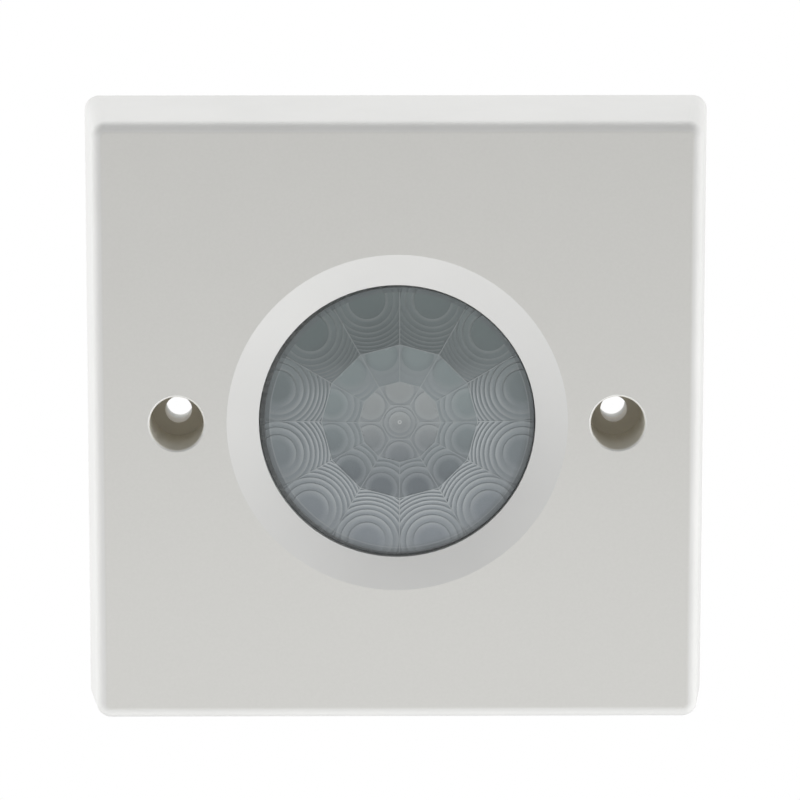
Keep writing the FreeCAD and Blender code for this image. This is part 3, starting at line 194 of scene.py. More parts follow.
def moulded(name, light, dark, rough, grain=GRAIN_WIDE):
    """Moulded plastic: faint flow shading, an eroded grain and a slightly uneven sheen."""
    finish = Finish(name, rough)
    finish.colour(finish.mix(finish.clouds(FLOW_WIDE, detail=3.0, spread=0.15), dark, light))
    finish.rough(finish.clouds(SHEEN_WIDE, detail=4.0, low=rough - SHEEN_SWING, high=rough + SHEEN_SWING))
    finish.relief(finish.noise(grain), GRAIN_DEEP)
    return finish


casing = moulded("white_plastic", CASING_WHITE, CASING_SHADE, rough=0.42)
# painted shade: whatever faces straight to the front or the rear gets a darker, mottled tone than the walls
painted_face_shade = casing.mix(casing.noise(FACE_MOTTLE, detail=3.0), FACE_PAINTED_SHADE_DEEP, FACE_PAINTED_SHADE_PALE)
casing.cover(casing.between(casing.facing(), FACE_TURNED, FACE_FLAT), painted_face_shade)
casing.cover(casing.both(casing.specks(DUST_APART, DUST_RADIUS), DUST_SHARE), DUST_GREY)
# painted shade and light in each screw recess: darker at the mouth, paler towards the seat
down_recess = casing.between(casing.coordinate("Y"), RECESS_MOUTH, RECESS_SEAT)
recess_painted_shading = casing.mix(down_recess, RECESS_MOUTH_PAINTED_SHADE, RECESS_SEAT_PAINTED_LIGHT)
for side in (-1, 1):
    casing.cover(casing.disc(side * RECESS_ACROSS, 0.0, RECESS_WIDE / 2, RECESS_EDGE), recess_painted_shading)
dress(casing, "front_casing")

# Lens: one moulding in grey polyethylene that lets body heat through. It is smooth outside, and 31 small
# stepped lenses are moulded into its inner face; they show through as arcs. A flange holds it behind the lip.
WALL_RADIUS = 0.01885
SHOULDER_ROUND = 0.0005
DOME_RISE = 0.0012
DOME_THICK = 0.0006
WALL_THICK = 0.0007
FLANGE_THICK = 0.001
OUTER_STEP_DEEP = 0.00016
INNER_STEP_DEEP = 0.00009
LAND_HALF = 0.00006

# How finely the mesh follows the real curves, the lengths, slopes and turns that are too small to count,
# and a reach longer than any cell.
LENS_TURNS = 96
DOME_STEPS = 16
SHOULDER_STEPS = 6
CELL_RAYS = 72
FIRST_ZONE_CUTS = (0.35, 0.65, 0.85)
SHARP_FROM = math.radians(20)
SAME_PLACE = 1e-8
SHORTEST_REACH = 1e-7
LONGEST_REACH = 1.0
THINNEST_SLICE = 2e-6
SLICE_INSET = 1e-5
ALONG_SIDE = 1e-9
IN_LINE = 1e-6

# The field of cells sits a little right of the lens's own middle. Each ring of cells, from the rim inward:
# how many, straight sides of a cell's outer end, inner and outer corner radius, radius of the optical
# centres, first zone, and how far inward the finish takes it to be.
FIELD_RIGHT = 0.00033
FIELD_EDGE = 0.0178
FIELD_INSIDE_WALL = 0.00035
FIELD_RIM = WALL_RADIUS - FIELD_INSIDE_WALL
OUTER_FROM = 0.0107
MIDDLE_FROM = 0.0056
INNER_FROM = 0.0027
CELL_RINGS = (
    (12, LENS_TURNS // 12, OUTER_FROM, FIELD_RIM, 0.0173, 0.00254, 0.0),
    (12, 1, MIDDLE_FROM, OUTER_FROM, 0.0096, 0.0022, 1.0),
    (6, 2, INNER_FROM, MIDDLE_FROM, 0.0046, 0.00195, 2.0),
    (1, 6, 0.0, INNER_FROM, 0.0, 0.0015, 2.0),
)

# Painted light and shade on the stepped face, which change with height: two heights, and the tone at each.
OUTER_PAINTED_SHADING = (-0.014, 0.012, (0.295, 0.335, 0.375), (0.187, 0.24, 0.235))
MIDDLE_PAINTED_SHADING = (-0.008, 0.003, (0.14, 0.17, 0.195), (0.355, 0.425, 0.43))
INNER_PAINTED_SHADING = (-0.005, 0.001, (0.23, 0.26, 0.285), (0.5, 0.53, 0.53))
CREST_PAINTED_SHADING = (0.0035, 0.0085, (0.66, 0.7, 0.72), (0.15, 0.18, 0.18))
EDGE_PAINTED_SHADING = (-0.014, 0.006, (0.27, 0.3, 0.33), (0.185, 0.215, 0.22))
GROOVE_PAINTED_LIGHT = (0.44, 0.48, 0.5)
FOOT_PAINTED_LIGHT = (0.46, 0.5, 0.5)
LAND_PAINTED_LIGHT = (0.6, 0.64, 0.65)
GATE_PALE = (0.85, 0.87, 0.87)
LIP_SHADOW = (0.1, 0.11, 0.11)

# Where each of them shows: two heights, radii, rings or places on the slope, and the share at each.
OUTER_GROOVES = (0.011, 0.0, 0.15, 0.5)
MIDDLE_GROOVES = (-0.005, 0.004, 0.35, 0.65)
CREST_ON_SLOPE = (0.35, 0.85)
CREST_BY_RADIUS = (0.0165, 0.0115, 0.2, 1.0)
CREST_BY_RING = (0.0, 1.0, 1.0, 0.3)
FOOT_ON_SLOPE = (0.45, 0.0, 0.0, 0.9)
FOOT_BY_HEIGHT = (0.003, 0.007)
FOOT_BY_RING = (0.5, 0.0)
LAND_ON_SLOPE = (1.4, 1.8)
LAND_BY_HEIGHT = (0.003, 0.008, 0.3, 0.65)
EDGE_BY_HEIGHT = (-0.015, -0.008)
EDGE_LINE_SHARE = 0.35
EDGE_LINE_BY_HEIGHT = (0.011, 0.004)
SHADOW_BY_RADIUS = (0.0174, 0.0187, 0.0, 0.6)
SHADOW_BY_HEIGHT = (0.006, -0.004)
GATE_INNER = 0.00016
GATE_OUTER = 0.00024
GATE_BLUR = 0.00006

SKIN_LIGHT = (0.36, 0.385, 0.395)
SKIN_DARK = (0.3, 0.32, 0.33)
SKIN_CLOUDS = 0.006
SKIN_WAVES = 0.0009
SKIN_WAVES_DEEP = 0.000004
SKIN_COVERS = 0.3
STEPS_GRAIN = 0.0005
STEPS_GRAIN_DEEP = 0.000003

lens_low, lens_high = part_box("fresnel_lens")
crown = lens_low.y
flange_back = lens_high.y
flange_edge = lens_high.x
dome_radius = WALL_RADIUS - SHOULDER_ROUND
outer_ball = (dome_radius ** 2 + DOME_RISE ** 2) / (2 * DOME_RISE)
inner_ball = outer_ball - DOME_THICK
ball_centre = crown + outer_ball


def on_ball(ball, radius):
    """Depth of one of the dome's two faces at a radius."""
    return ball_centre - math.sqrt(ball ** 2 - radius ** 2)


def spot(radius, degrees):
    """Point across the lens as (right, up)."""
    return radius * math.cos(math.radians(degrees)), radius * math.sin(math.radians(degrees))


def edge_lines(corners, inset):
    """Each side of a cell as (outward normal, distance), moved inward by inset. Corners run anticlockwise."""
    lines = []
    for (x0, z0), (x1, z1) in zip(corners, corners[1:] + corners[:1]):
        length = math.hypot(x1 - x0, z1 - z0)
        nx, nz = (z1 - z0) / length, (x0 - x1) / length
        lines.append((nx, nz, nx * x0 + nz * z0 - inset))
    return lines


def crossings(lines):
    """Corners where neighbouring sides meet."""
    found = []
    for (ax, az, a), (bx, bz, b) in zip(lines, lines[1:] + lines[:1]):
        turn = ax * bz - az * bx
        if abs(turn) > IN_LINE:
            found.append(((a * bz - b * az) / turn, (ax * b - bx * a) / turn))
    return found


def reach(lines, centre, angle):
    """Where a ray from the optical centre enters and leaves a cell, or None."""
    dx, dz = math.cos(angle), math.sin(angle)
    start, end = 0.0, LONGEST_REACH
    for nx, nz, far in lines:
        slope = nx * dx + nz * dz
        room = far - nx * centre[0] - nz * centre[1]
        if abs(slope) < ALONG_SIDE:
            if room < 0:
                return None
        elif slope > 0:
            end = min(end, room / slope)
        else:
            start = max(start, room / slope)
    return (start, end) if end - start > SHORTEST_REACH else None


def zone_edges(first, far):
    """Radii of the zones: each has the same area as the first."""
    edges = [0.0]
    while edges[-1] < far:
        edges.append(first * math.sqrt(len(edges)))
    return edges


def ray_angles(inner, outer, centre, zones):
    """Where a cell is cut round its optical centre: evenly, at its corners and where zones meet its sides."""
    angles = {round(math.tau * step / CELL_RAYS, 6) for step in range(CELL_RAYS)}
    for x, z in crossings(inner) + crossings(outer):
        angles.add(round(math.atan2(z - centre[1], x - centre[0]) % math.tau, 6))
    for nx, nz, distance in inner:
        room = distance - nx * centre[0] - nz * centre[1]
        for zone in zones[1:]:
            if abs(room) < zone:
                swing = math.acos(room / zone)
                for side in (-swing, swing):
                    angles.add(round((math.atan2(nz, nx) + side) % math.tau, 6))
    return sorted(angles)


class LensMesh:
    """Faces of the lens, with what the finish reads on them.

    line runs from 0 to 1 up the slope of a zone, is 1 on its riser and 2 on the lands between cells. inward
    tells the ring of cells, from 0 at the rim to 2, and groove is 1 outside a cell's first zone.
    """

    OUTSIDE, STEPPED = 0, 1
    RISER, LAND = 1.0, 2.0

    def __init__(self):
        self.mesh = bmesh.new()
        self.line = self.mesh.loops.layers.float.new("line")
        self.inward = self.mesh.loops.layers.float.new("inward")
        self.groove = self.mesh.loops.layers.float.new("groove")

    def face(self, points, material, lines, inward=0.0, groove=0.0):
        """Add a face, without the points that lie on one another."""
        kept = []
        for number, point in enumerate(points):
            if all((Vector(point) - Vector(points[other])).length > SAME_PLACE for other in kept):
                kept.append(number)
        if len(kept) < 3:
            return
        face = self.mesh.faces.new([self.mesh.verts.new(points[number]) for number in kept])
        face.material_index = material
        for loop, number in zip(face.loops, kept):
            loop[self.line] = lines[number]
            loop[self.inward] = inward
            loop[self.groove] = groove

    def cell(self, corners, centre, first, inward):
        """One stepped lens: rings that slope to the rim of each zone, the risers between, and its land."""
        depth = INNER_STEP_DEEP if inward else OUTER_STEP_DEEP
        inner, outer = edge_lines(corners, LAND_HALF), edge_lines(corners, 0.0)
        zones = zone_edges(first, max(math.dist(corner, centre) for corner in corners))
        angles = ray_angles(inner, outer, centre, zones)

        def lift(radius, number):
            """How far up its slope a radius lies, from 1 at the zone's inner edge to 0 at its rim."""
            low, high = zones[number] ** 2, zones[number + 1] ** 2
            return (high - radius ** 2) / (high - low)

        def cell_face(places, lines, groove=0.0):
            """A face whose places are given by angle, radius and lift."""
            points = []
            for angle, radius, raised in places:
                x, z = centre[0] + radius * math.cos(angle), centre[1] + radius * math.sin(angle)
                depth_there = on_ball(inner_ball, math.hypot(x, z)) + raised * depth
                points.append((x + FIELD_RIGHT, depth_there, z))
            self.face(points, self.STEPPED, lines, inward, groove)

        for a, b in zip(angles, angles[1:] + [angles[0] + math.tau]):
            if b - a < THINNEST_SLICE:
                continue
            inset = min(SLICE_INSET, (b - a) / 4)
            sides = [reach(inner, centre, angle) for angle in (a + inset, b - inset)]
            rims = [reach(outer, centre, angle) for angle in (a + inset, b - inset)]
            if None in rims:
                continue
            if None in sides:
                cell_face([(a, rims[0][0], 0), (b, rims[1][0], 0), (b, rims[1][1], 0), (a, rims[0][1], 0)],
                          [self.LAND] * 4)
                continue
            (start_a, end_a), (start_b, end_b) = sides
            for number, (low, high) in enumerate(zip(zones, zones[1:])):
                cuts = [low, high] if number else [low, *(high * cut for cut in FIRST_ZONE_CUTS), high]
                for near, wide in zip(cuts, cuts[1:]):
                    from_a, to_a = max(near, start_a), min(wide, end_a)
                    from_b, to_b = max(near, start_b), min(wide, end_b)
                    if to_a - from_a < SAME_PLACE and to_b - from_b < SAME_PLACE:
                        continue
                    ring = [(a, from_a), (b, from_b), (b, max(to_b, from_b)), (a, max(to_a, from_a))]
                    lifts = [lift(radius, number) for angle, radius in ring]
                    cell_face([(*place, raised) for place, raised in zip(ring, lifts)],
                              [1 - raised for raised in lifts], float(number > 0))
                middle = reach(inner, centre, (a + b) / 2)
                if middle and middle[0] < high < middle[1]:
                    cell_face([(a, high, 0), (b, high, 0), (b, high, 1), (a, high, 1)],
                              [self.RISER] * 4, 1.0)
            for (end_at_a, end_at_b), rim in (((start_a, start_b), 0), ((end_a, end_b), 1)):
                if rim == 0 and max(end_at_a, end_at_b) < IN_LINE:
                    continue
                middle = (end_at_a + end_at_b) / 2
                number = next(step for step in range(len(zones) - 1) if zones[step + 1] > middle)
                cell_face([(a, end_at_a, lift(end_at_a, number)), (b, end_at_b, lift(end_at_b, number)),
                           (b, end_at_b, 0), (a, end_at_a, 0)], [self.RISER] * 4, 1.0)
                cell_face([(a, end_at_a, 0), (b, end_at_b, 0), (b, rims[1][rim], 0), (a, rims[0][rim], 0)],
                          [self.LAND] * 4)


def put(name, data):
    """Put a mesh, a camera or a lamp in the scene."""
    thing = bpy.data.objects.new(name, data)
    bpy.context.scene.collection.objects.link(thing)
    return thing


def make_piece(name, mesh):
    """Turn a finished mesh into a piece of the scene, shaded smooth."""
    data = bpy.data.meshes.new(name)
    mesh.to_mesh(data)
    mesh.free()
    data.shade_smooth()
    return put(name, data)


def make_lens():
    """The whole lens: its smooth outside turned about the axis, then every cell of its inner face."""
    lens = LensMesh()
    dome = [dome_radius * step / DOME_STEPS for step in range(DOME_STEPS + 1)]
    outline = [(radius, on_ball(outer_ball, radius)) for radius in dome]
    for step in range(1, SHOULDER_STEPS + 1):
        swing = math.radians(90 * step / SHOULDER_STEPS)
        outline.append((dome_radius + SHOULDER_ROUND * math.sin(swing),
                        on_ball(outer_ball, dome_radius) + SHOULDER_ROUND * (1 - math.cos(swing))))
    bore = WALL_RADIUS - WALL_THICK
    flange_front = flange_back - FLANGE_THICK
    outline += [(WALL_RADIUS, flange_front), (flange_edge, flange_front), (flange_edge, flange_back),
                (bore, flange_back), (bore, on_ball(inner_ball, bore))]
    for step in range(LENS_TURNS):
        turns = [360 * step / LENS_TURNS, 360 * (step + 1) / LENS_TURNS]
        for (near, near_y), (far, far_y) in zip(outline, outline[1:]):
            corners = [(near, near_y, turns[0]), (far, far_y, turns[0]), (far, far_y, turns[1]),
                       (near, near_y, turns[1])]
            lens.face([(spot(radius, turn)[0], y, spot(radius, turn)[1]) for radius, y, turn in corners],
                      lens.OUTSIDE, [0.0] * 4)
    for count, sides, near, far, axis, first, inward in CELL_RINGS:
        wide = 360 / count
        for cell in range(count):
            low, high = wide * cell, wide * (cell + 1)
            if near:
                rim = [spot(far, low + wide * side / sides) for side in range(sides + 1)]
                corners = [spot(near, low), *rim, spot(near, high)]
            else:
                corners = [spot(far, wide * side / sides) for side in range(sides)]
            lens.cell(corners, spot(axis, (low + high) / 2), first, inward)
    bmesh.ops.remove_doubles(lens.mesh, verts=lens.mesh.verts, dist=2 * SAME_PLACE)
    piece = make_piece("lens", lens.mesh)
    piece.data.set_sharp_from_angle(angle=SHARP_FROM)
    return piece


def away(finish, source, middle):
    """How far a value is from a middle one."""
    return finish.reckon("ABSOLUTE", finish.reckon("SUBTRACT", source, middle))


def lens_skin():
    """The smooth outside: grey, cloudy plastic that lets the stepped face behind it show."""
    finish = Finish("lens_skin", 0.3)
    finish.colour(finish.mix(finish.clouds(SKIN_CLOUDS, detail=3.0), SKIN_DARK, SKIN_LIGHT))
    finish.relief(finish.noise(SKIN_WAVES), SKIN_WAVES_DEEP)
    finish.shader.inputs["Alpha"].default_value = SKIN_COVERS
    return finish


def lens_steps():
    """The stepped inner face, with painted light and shade: the outer cells are lighter low down and the
    others lighter high up.
    """
    finish = Finish("lens_steps", 0.5)
    up = finish.coordinate("Z")
    off_lens = finish.from_axis(0.0, 0.0)
    off_field = finish.from_axis(FIELD_RIGHT, 0.0)
    line, inward, groove = (finish.add("ShaderNodeAttribute", {}, "Fac", attribute_name=name)
                            for name in ("line", "inward", "groove"))

    def painted_by_height(low, high, low_tone, high_tone):
        """Painted light and shade: a tone that changes with height."""
        return finish.mix(finish.between(up, low, high), low_tone, high_tone)

    # painted light and shade: the tone of each ring of cells, and painted light that makes the grooves paler
    # in all of
    #     # them, both changing with height
    base = finish.mix(inward, painted_by_height(*OUTER_PAINTED_SHADING), painted_by_height(*MIDDLE_PAINTED_SHADING))
    base = finish.mix(finish.between(inward, 1.0, 2.0), base, painted_by_height(*INNER_PAINTED_SHADING))
    groove_light_share = finish.blend(inward, finish.between(up, *OUTER_GROOVES), finish.between(up, *MIDDLE_GROOVES))
    base = finish.mix(finish.both(groove, groove_light_share), base, GROOVE_PAINTED_LIGHT)
    # painted highlights on the slopes of the outer cells near the middle, and painted shade on them in the
    # cells high
    #     # up, where the foot of each slope is painted pale instead
    crest = finish.both(finish.between(line, *CREST_ON_SLOPE),
                        finish.both(finish.between(off_lens, *CREST_BY_RADIUS),
                                    finish.between(inward, *CREST_BY_RING)))
    base = finish.mix(crest, base, painted_by_height(*CREST_PAINTED_SHADING))
    foot = finish.both(groove, finish.between(line, *FOOT_ON_SLOPE))
    high_up = finish.both(finish.between(up, *FOOT_BY_HEIGHT), finish.between(inward, *FOOT_BY_RING))
    base = finish.mix(finish.both(foot, high_up), base, FOOT_PAINTED_LIGHT)
    # painted light on the lands between the cells, and the pale ring that the mould's gate leaves in the
    # middle
    land = finish.both(finish.between(line, *LAND_ON_SLOPE), finish.between(up, *LAND_BY_HEIGHT))
    base = finish.mix(land, base, LAND_PAINTED_LIGHT)
    gate = finish.both(finish.between(off_field, GATE_OUTER + GATE_BLUR, GATE_OUTER),
                       finish.between(off_field, GATE_INNER - GATE_BLUR, GATE_INNER))
    base = finish.mix(gate, base, GATE_PALE)
    # painted light and shade on a plain edge outside the field, a fine painted line of light round it, and
    # the shadow
    #     # of the casing's lip
    edge = finish.both(finish.between(off_field, FIELD_EDGE, FIELD_EDGE + LAND_HALF),
                       finish.between(up, *EDGE_BY_HEIGHT))
    base = finish.mix(edge, base, painted_by_height(*EDGE_PAINTED_SHADING))
    off_line = away(finish, off_field, FIELD_EDGE)
    edge_line = finish.both(finish.between(off_line, 2 * LAND_HALF, LAND_HALF, 0.0, EDGE_LINE_SHARE),
                            finish.between(up, *EDGE_LINE_BY_HEIGHT))
    base = finish.mix(edge_line, base, LAND_PAINTED_LIGHT)
    shadow = finish.both(finish.between(off_lens, *SHADOW_BY_RADIUS), finish.between(up, *SHADOW_BY_HEIGHT))
    finish.colour(finish.mix(shadow, base, LIP_SHADOW))
    finish.relief(finish.noise(STEPS_GRAIN, detail=3.0), STEPS_GRAIN_DEEP)
    return finish


lens = make_lens()
lens.data.materials.append(lens_skin().material)
lens.data.materials.append(lens_steps().material)
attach(lens, "housing")
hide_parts("fresnel_lens")

# Lens retainer: a ring moulded in greyer plastic. It snaps in behind the lens flange, under barbs on the
# collar of the casing, and has notches for taking it out. Three low pips stand on it.
GREY_WHITE = (0.79, 0.79, 0.765)
GREY_WHITE_SHADE = (0.745, 0.745, 0.72)
GREY_WHITE_GRAIN = 0.0003
PIP_RING = 0.0187
PIP_TURNS = (60, 180, 300)
PIP_RADIUS = 0.00075
PIP_HIGH = 0.00006

retainer = moulded("retainer_plastic", GREY_WHITE, GREY_WHITE_SHADE, rough=0.4, grain=GREY_WHITE_GRAIN)
for turn in PIP_TURNS:
    retainer.relief(retainer.disc(*spot(PIP_RING, turn), PIP_RADIUS), PIP_HIGH)
dress(retainer, "lens_retainer")

# Rear cover: a plate with a deep capsule, one moulding. Four screws hold it to the casing's corner bosses.
# The pins that push it out of its mould leave shallow round marks.
PIN_MARKS = ((0.0335, 0.021), (0.0335, -0.021), (0.015, 0.033), (0.015, -0.033))
PIN_MARK_RADIUS = 0.0018
PIN_MARK_DEEP = 0.00008
PIN_MARK_SHADE = 0.25

cover = moulded("grey_white_plastic", GREY_WHITE, GREY_WHITE_SHADE, rough=0.4, grain=GREY_WHITE_GRAIN)
for side in (-1, 1):
    for x, z in PIN_MARKS:
        mark = cover.disc(side * x, z, PIN_MARK_RADIUS)
        cover.relief(mark, -PIN_MARK_DEEP)
        cover.cover(cover.both(mark, PIN_MARK_SHADE), GREY_WHITE_SHADE)
dress(cover, "rear_cover")

# Screws of the cover and of the circuit board: self-tapping steel screws, zinc plated, with a cross recess.
# Each thread is raised in the finish, from a start to an end along the screw.
ZINC_BRIGHT = (0.68, 0.69, 0.68)
ZINC_DULL = (0.5, 0.5, 0.46)
PLATING_CLOUDS = 0.0015
STREAK_WIDE = 0.0004
STREAK_DEEP = 0.000003
STREAK_SMOOTHER = 0.08
STREAK_ROUGHER = 0.1
TAPPING_PITCH = 0.0009
COVER_THREAD = (-0.0015, -0.0092)
BOARD_THREAD = (0.0062, 0.0106)
THREAD_RUN_IN = 0.0001
THREAD_DEEP = 0.00025
THREAD_SHADE = 0.6


def plated(name, light, dark, rough, streak=STREAK_WIDE):
    """Plated metal: cloudy sheen and fine drawn lines."""
    finish = Finish(name, rough)
    finish.shader.inputs["Metallic"].default_value = 1.0
    finish.colour(finish.mix(finish.noise(PLATING_CLOUDS, detail=4.0), dark, light))
    finish.rough(finish.clouds(streak, detail=3.0, low=rough - STREAK_SMOOTHER, high=rough + STREAK_ROUGHER))
    finish.relief(finish.noise(streak, detail=3.0), STREAK_DEEP)
    return finish


def thread(finish, start, end, pitch):
    """Raise a thread between two places along the screw, and paint shade at the bottom of its groove."""
    turn = finish.reckon("PINGPONG", finish.coordinate("Y"), pitch / 2)
    run_in = math.copysign(THREAD_RUN_IN, end - start)
    threaded = finish.between(finish.coordinate("Y"), start, start + run_in)
    finish.relief(finish.both(finish.between(turn, 0.0, pitch / 2), threaded), THREAD_DEEP)
    finish.cover(finish.both(finish.between(turn, pitch / 6, 0.0), finish.both(threaded, THREAD_SHADE)),
                 ZINC_DULL)


cover_zinc = plated("cover_screw_zinc", ZINC_BRIGHT, ZINC_DULL, rough=0.3)
thread(cover_zinc, *COVER_THREAD, TAPPING_PITCH)
dress(cover_zinc, "cover_screws")
board_zinc = plated("board_screw_zinc", ZINC_BRIGHT, ZINC_DULL, rough=0.3)
thread(board_zinc, *BOARD_THREAD, TAPPING_PITCH)
dress(board_zinc, "board_screws")

# Circuit board: glass laminate with copper areas under a green solder mask. Tinned pads lie round the pins
# that come through it, those of the sensor and of the terminal contacts.
MASK_GREEN = (0.02, 0.15, 0.06)
MASK_SHADE = (0.015, 0.12, 0.045)
COPPER_GREEN = (0.04, 0.24, 0.09)
COPPER_WIDE = 0.0065
COPPER_GAP = (0.05, 0.065)
COPPER_UNEVEN = 0.75
COPPER_THICK = 0.00003
LAMINATE_PALE = (0.62, 0.58, 0.38)
LAMINATE_DARK = (0.5, 0.48, 0.3)
LAMINATE_FIBRES = 0.0002
CUT_EDGE_FACING = (0.6, 0.4)
TINNED = (0.74, 0.73, 0.68)
TINNED_DULL = (0.58, 0.57, 0.52)
PAD_WIDE = 0.0018
PAD_EDGE = 0.00003
PIN_TIP = 0.00005
PINS_APART = 0.001


def pins(name):
    """Where a piece's pins stand out of the board's front, across and up."""
    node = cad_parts[name]
    places = [node.matrix_world @ vertex.co for vertex in node.data.vertices]
    tip = min(place.y for place in places)
    groups = []
    for place in (place for place in places if place.y < tip + PIN_TIP):
        for group in groups:
            if math.dist((group[0].x, group[0].z), (place.x, place.z)) < PINS_APART:
                group.append(place)
                break
        else:
            groups.append([place])
    return [(sum(place.x for place in group) / len(group), sum(place.z for place in group) / len(group))
            for group in groups]


pin_places = pins("sensor_leads") + pins("terminal_contacts")
board = moulded("board_laminate", MASK_GREEN, MASK_SHADE, rough=0.35)
flat_place = board.add("ShaderNodeVectorMath", {0: board.place, 1: (1.0, 0.0, 1.0)}, operation="MULTIPLY")
gap = board.add("ShaderNodeTexVoronoi", {"Vector": flat_place, "Scale": 1 / COPPER_WIDE,
                                         "Randomness": COPPER_UNEVEN}, feature="DISTANCE_TO_EDGE")
copper = board.between(gap, *COPPER_GAP)
board.cover(copper, COPPER_GREEN)
board.relief(copper, COPPER_THICK)
for x, z in pin_places:
    board.cover(board.disc(x, z, PAD_WIDE / 2, PAD_EDGE), TINNED)
fibres = board.mix(board.noise(LAMINATE_FIBRES), LAMINATE_DARK, LAMINATE_PALE)
board.cover(board.between(board.facing(), *CUT_EDGE_FACING), fibres)
dress(board, "circuit_board")

# Solder: a small cone of tin round each pin on the board's front, hollow underneath. It is drawn up the pin
# as it melts, so it is wide at the pad and fine at the tip.
SOLDER_SIDES = 16
SOLDER_PROFILE = ((PAD_WIDE / 2, 0.0), (PAD_WIDE / 3, 0.0002), (PAD_WIDE / 4, 0.0005), (0.0001, 0.0008))
board_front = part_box("circuit_board")[0].y


def make_solder():
    """All the cones in one piece, each turned from the same profile of radius and height."""
    mesh = bmesh.new()
    turns = [math.tau * step / SOLDER_SIDES for step in range(SOLDER_SIDES)]
    for x, z in pin_places:
        rings = []
        for radius, high in SOLDER_PROFILE:
            rings.append([mesh.verts.new((x + radius * math.cos(turn), board_front - high,
                                          z + radius * math.sin(turn))) for turn in turns])
        for low, high in zip(rings, rings[1:]):
            for step in range(SOLDER_SIDES):
                following = (step + 1) % SOLDER_SIDES
                mesh.faces.new((low[step], low[following], high[following], high[step]))
        mesh.faces.new(rings[-1])
    bmesh.ops.recalc_face_normals(mesh, faces=mesh.faces)
    return make_piece("solder", mesh)


solder = make_solder()
solder.data.materials.append(plated("solder", TINNED, TINNED_DULL, rough=0.32, streak=0.0002).material)
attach(solder, "housing")

# Sensor: a steel can, nickel plated, on a plastic spacer. A coated pane in its front lets body heat in, and
# its three tinned leads go through the board.
SPACER_WHITE = (0.8, 0.8, 0.78)
SPACER_SHADE = (0.74, 0.74, 0.72)
NICKEL_BRIGHT = (0.72, 0.71, 0.68)
NICKEL_DULL = (0.6, 0.59, 0.56)
NICKEL_PITCH = 0.00012
NICKEL_SLOPE = 0.01
PANE_LIGHT = (0.06, 0.045, 0.07)
PANE_DARK = (0.03, 0.025, 0.045)
PANE_COATED = 0.6
PANE_COAT_ROUGH = 0.05


def ridges(finish, across, pitch, slope):
    """Fine ridges that follow one another at a pitch."""
    finish.relief(finish.reckon("PINGPONG", across, pitch / 2), slope)


dress(moulded("spacer_plastic", SPACER_WHITE, SPACER_SHADE, rough=0.45, grain=0.0002), "sensor_spacer")
nickel = plated("nickel_can", NICKEL_BRIGHT, NICKEL_DULL, rough=0.28)
ridges(nickel, nickel.from_axis(0.0, 0.0), NICKEL_PITCH, NICKEL_SLOPE)
dress(nickel, "sensor_can")
dress(plated("tinned_leads", TINNED, TINNED_DULL, rough=0.35), "sensor_leads")
pane = moulded("dark_window", PANE_LIGHT, PANE_DARK, rough=0.1)
pane.shader.inputs["Coat Weight"].default_value = PANE_COATED
pane.shader.inputs["Coat Roughness"].default_value = PANE_COAT_ROUGH
dress(pane, "sensor_window")

# Sensor shroud: a cone moulded in matt black plastic, between the board and the lens retainer. It keeps
# draughts and stray light off the sensor.
BLACK = (0.035, 0.035, 0.036)
BLACK_SHADE = (0.022, 0.022, 0.023)
SHROUD_PITCH = 0.0008
SHROUD_SLOPE = 0.02

shroud = moulded("shroud_plastic", BLACK, BLACK_SHADE, rough=0.55)
ridges(shroud, shroud.coordinate("Y"), SHROUD_PITCH, SHROUD_SLOPE)
dress(shroud, "sensor_shroud")

# Light sensor: a small black moulded button beside the sensor, which tells day from night. Its clear crown
# shows the brown cell, and its leads go into the board.
CELL_BROWN = (0.09, 0.07, 0.05)
CELL_RADIUS = 0.0013
CROWN_RADIUS = 0.0014
CROWN_HIGH = 0.0002


def middle_of(name):
    """Where the middle of a node lies, across and up."""
    low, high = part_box(name)
    return (low.x + high.x) / 2, (low.z + high.z) / 2


cell_middle = middle_of("photocell")
cell = moulded("black_plastic", BLACK, BLACK_SHADE, rough=0.4)
cell.cover(cell.disc(*cell_middle, CELL_RADIUS, edge=0.0001), CELL_BROWN)
cell.relief(cell.disc(*cell_middle, CROWN_RADIUS, edge=0.0002), CROWN_HIGH)
dress(cell, "photocell")

# Terminals: a grey polyamide housing with four pockets. In each a slotted screw draws a plated clamp down
# on the wire and presses it against a brass strip, which goes through the board.
TERMINALS = (1, 2, 3, 4)
POLYAMIDE_GREY = (0.57, 0.58, 0.59)
POLYAMIDE_SHADE = (0.48, 0.49, 0.5)
FLECK_PALE = (0.66, 0.67, 0.68)
FLECK_WIDE = 0.0006
FLECK_FROM_TO = (0.55, 0.7)
FLECK_SHARE = 0.3
BRASS_BRIGHT = (0.78, 0.6, 0.3)
BRASS_DULL = (0.62, 0.45, 0.2)
BRASS_PITCH = 0.00016
BRASS_SLOPE = 0.02
SCREW_HEAD_HIGH = 0.0016
CLAMP_PITCH = 0.0006
CLAMP_BRIGHT = (0.7, 0.68, 0.58)
CLAMP_DULL = (0.52, 0.5, 0.4)

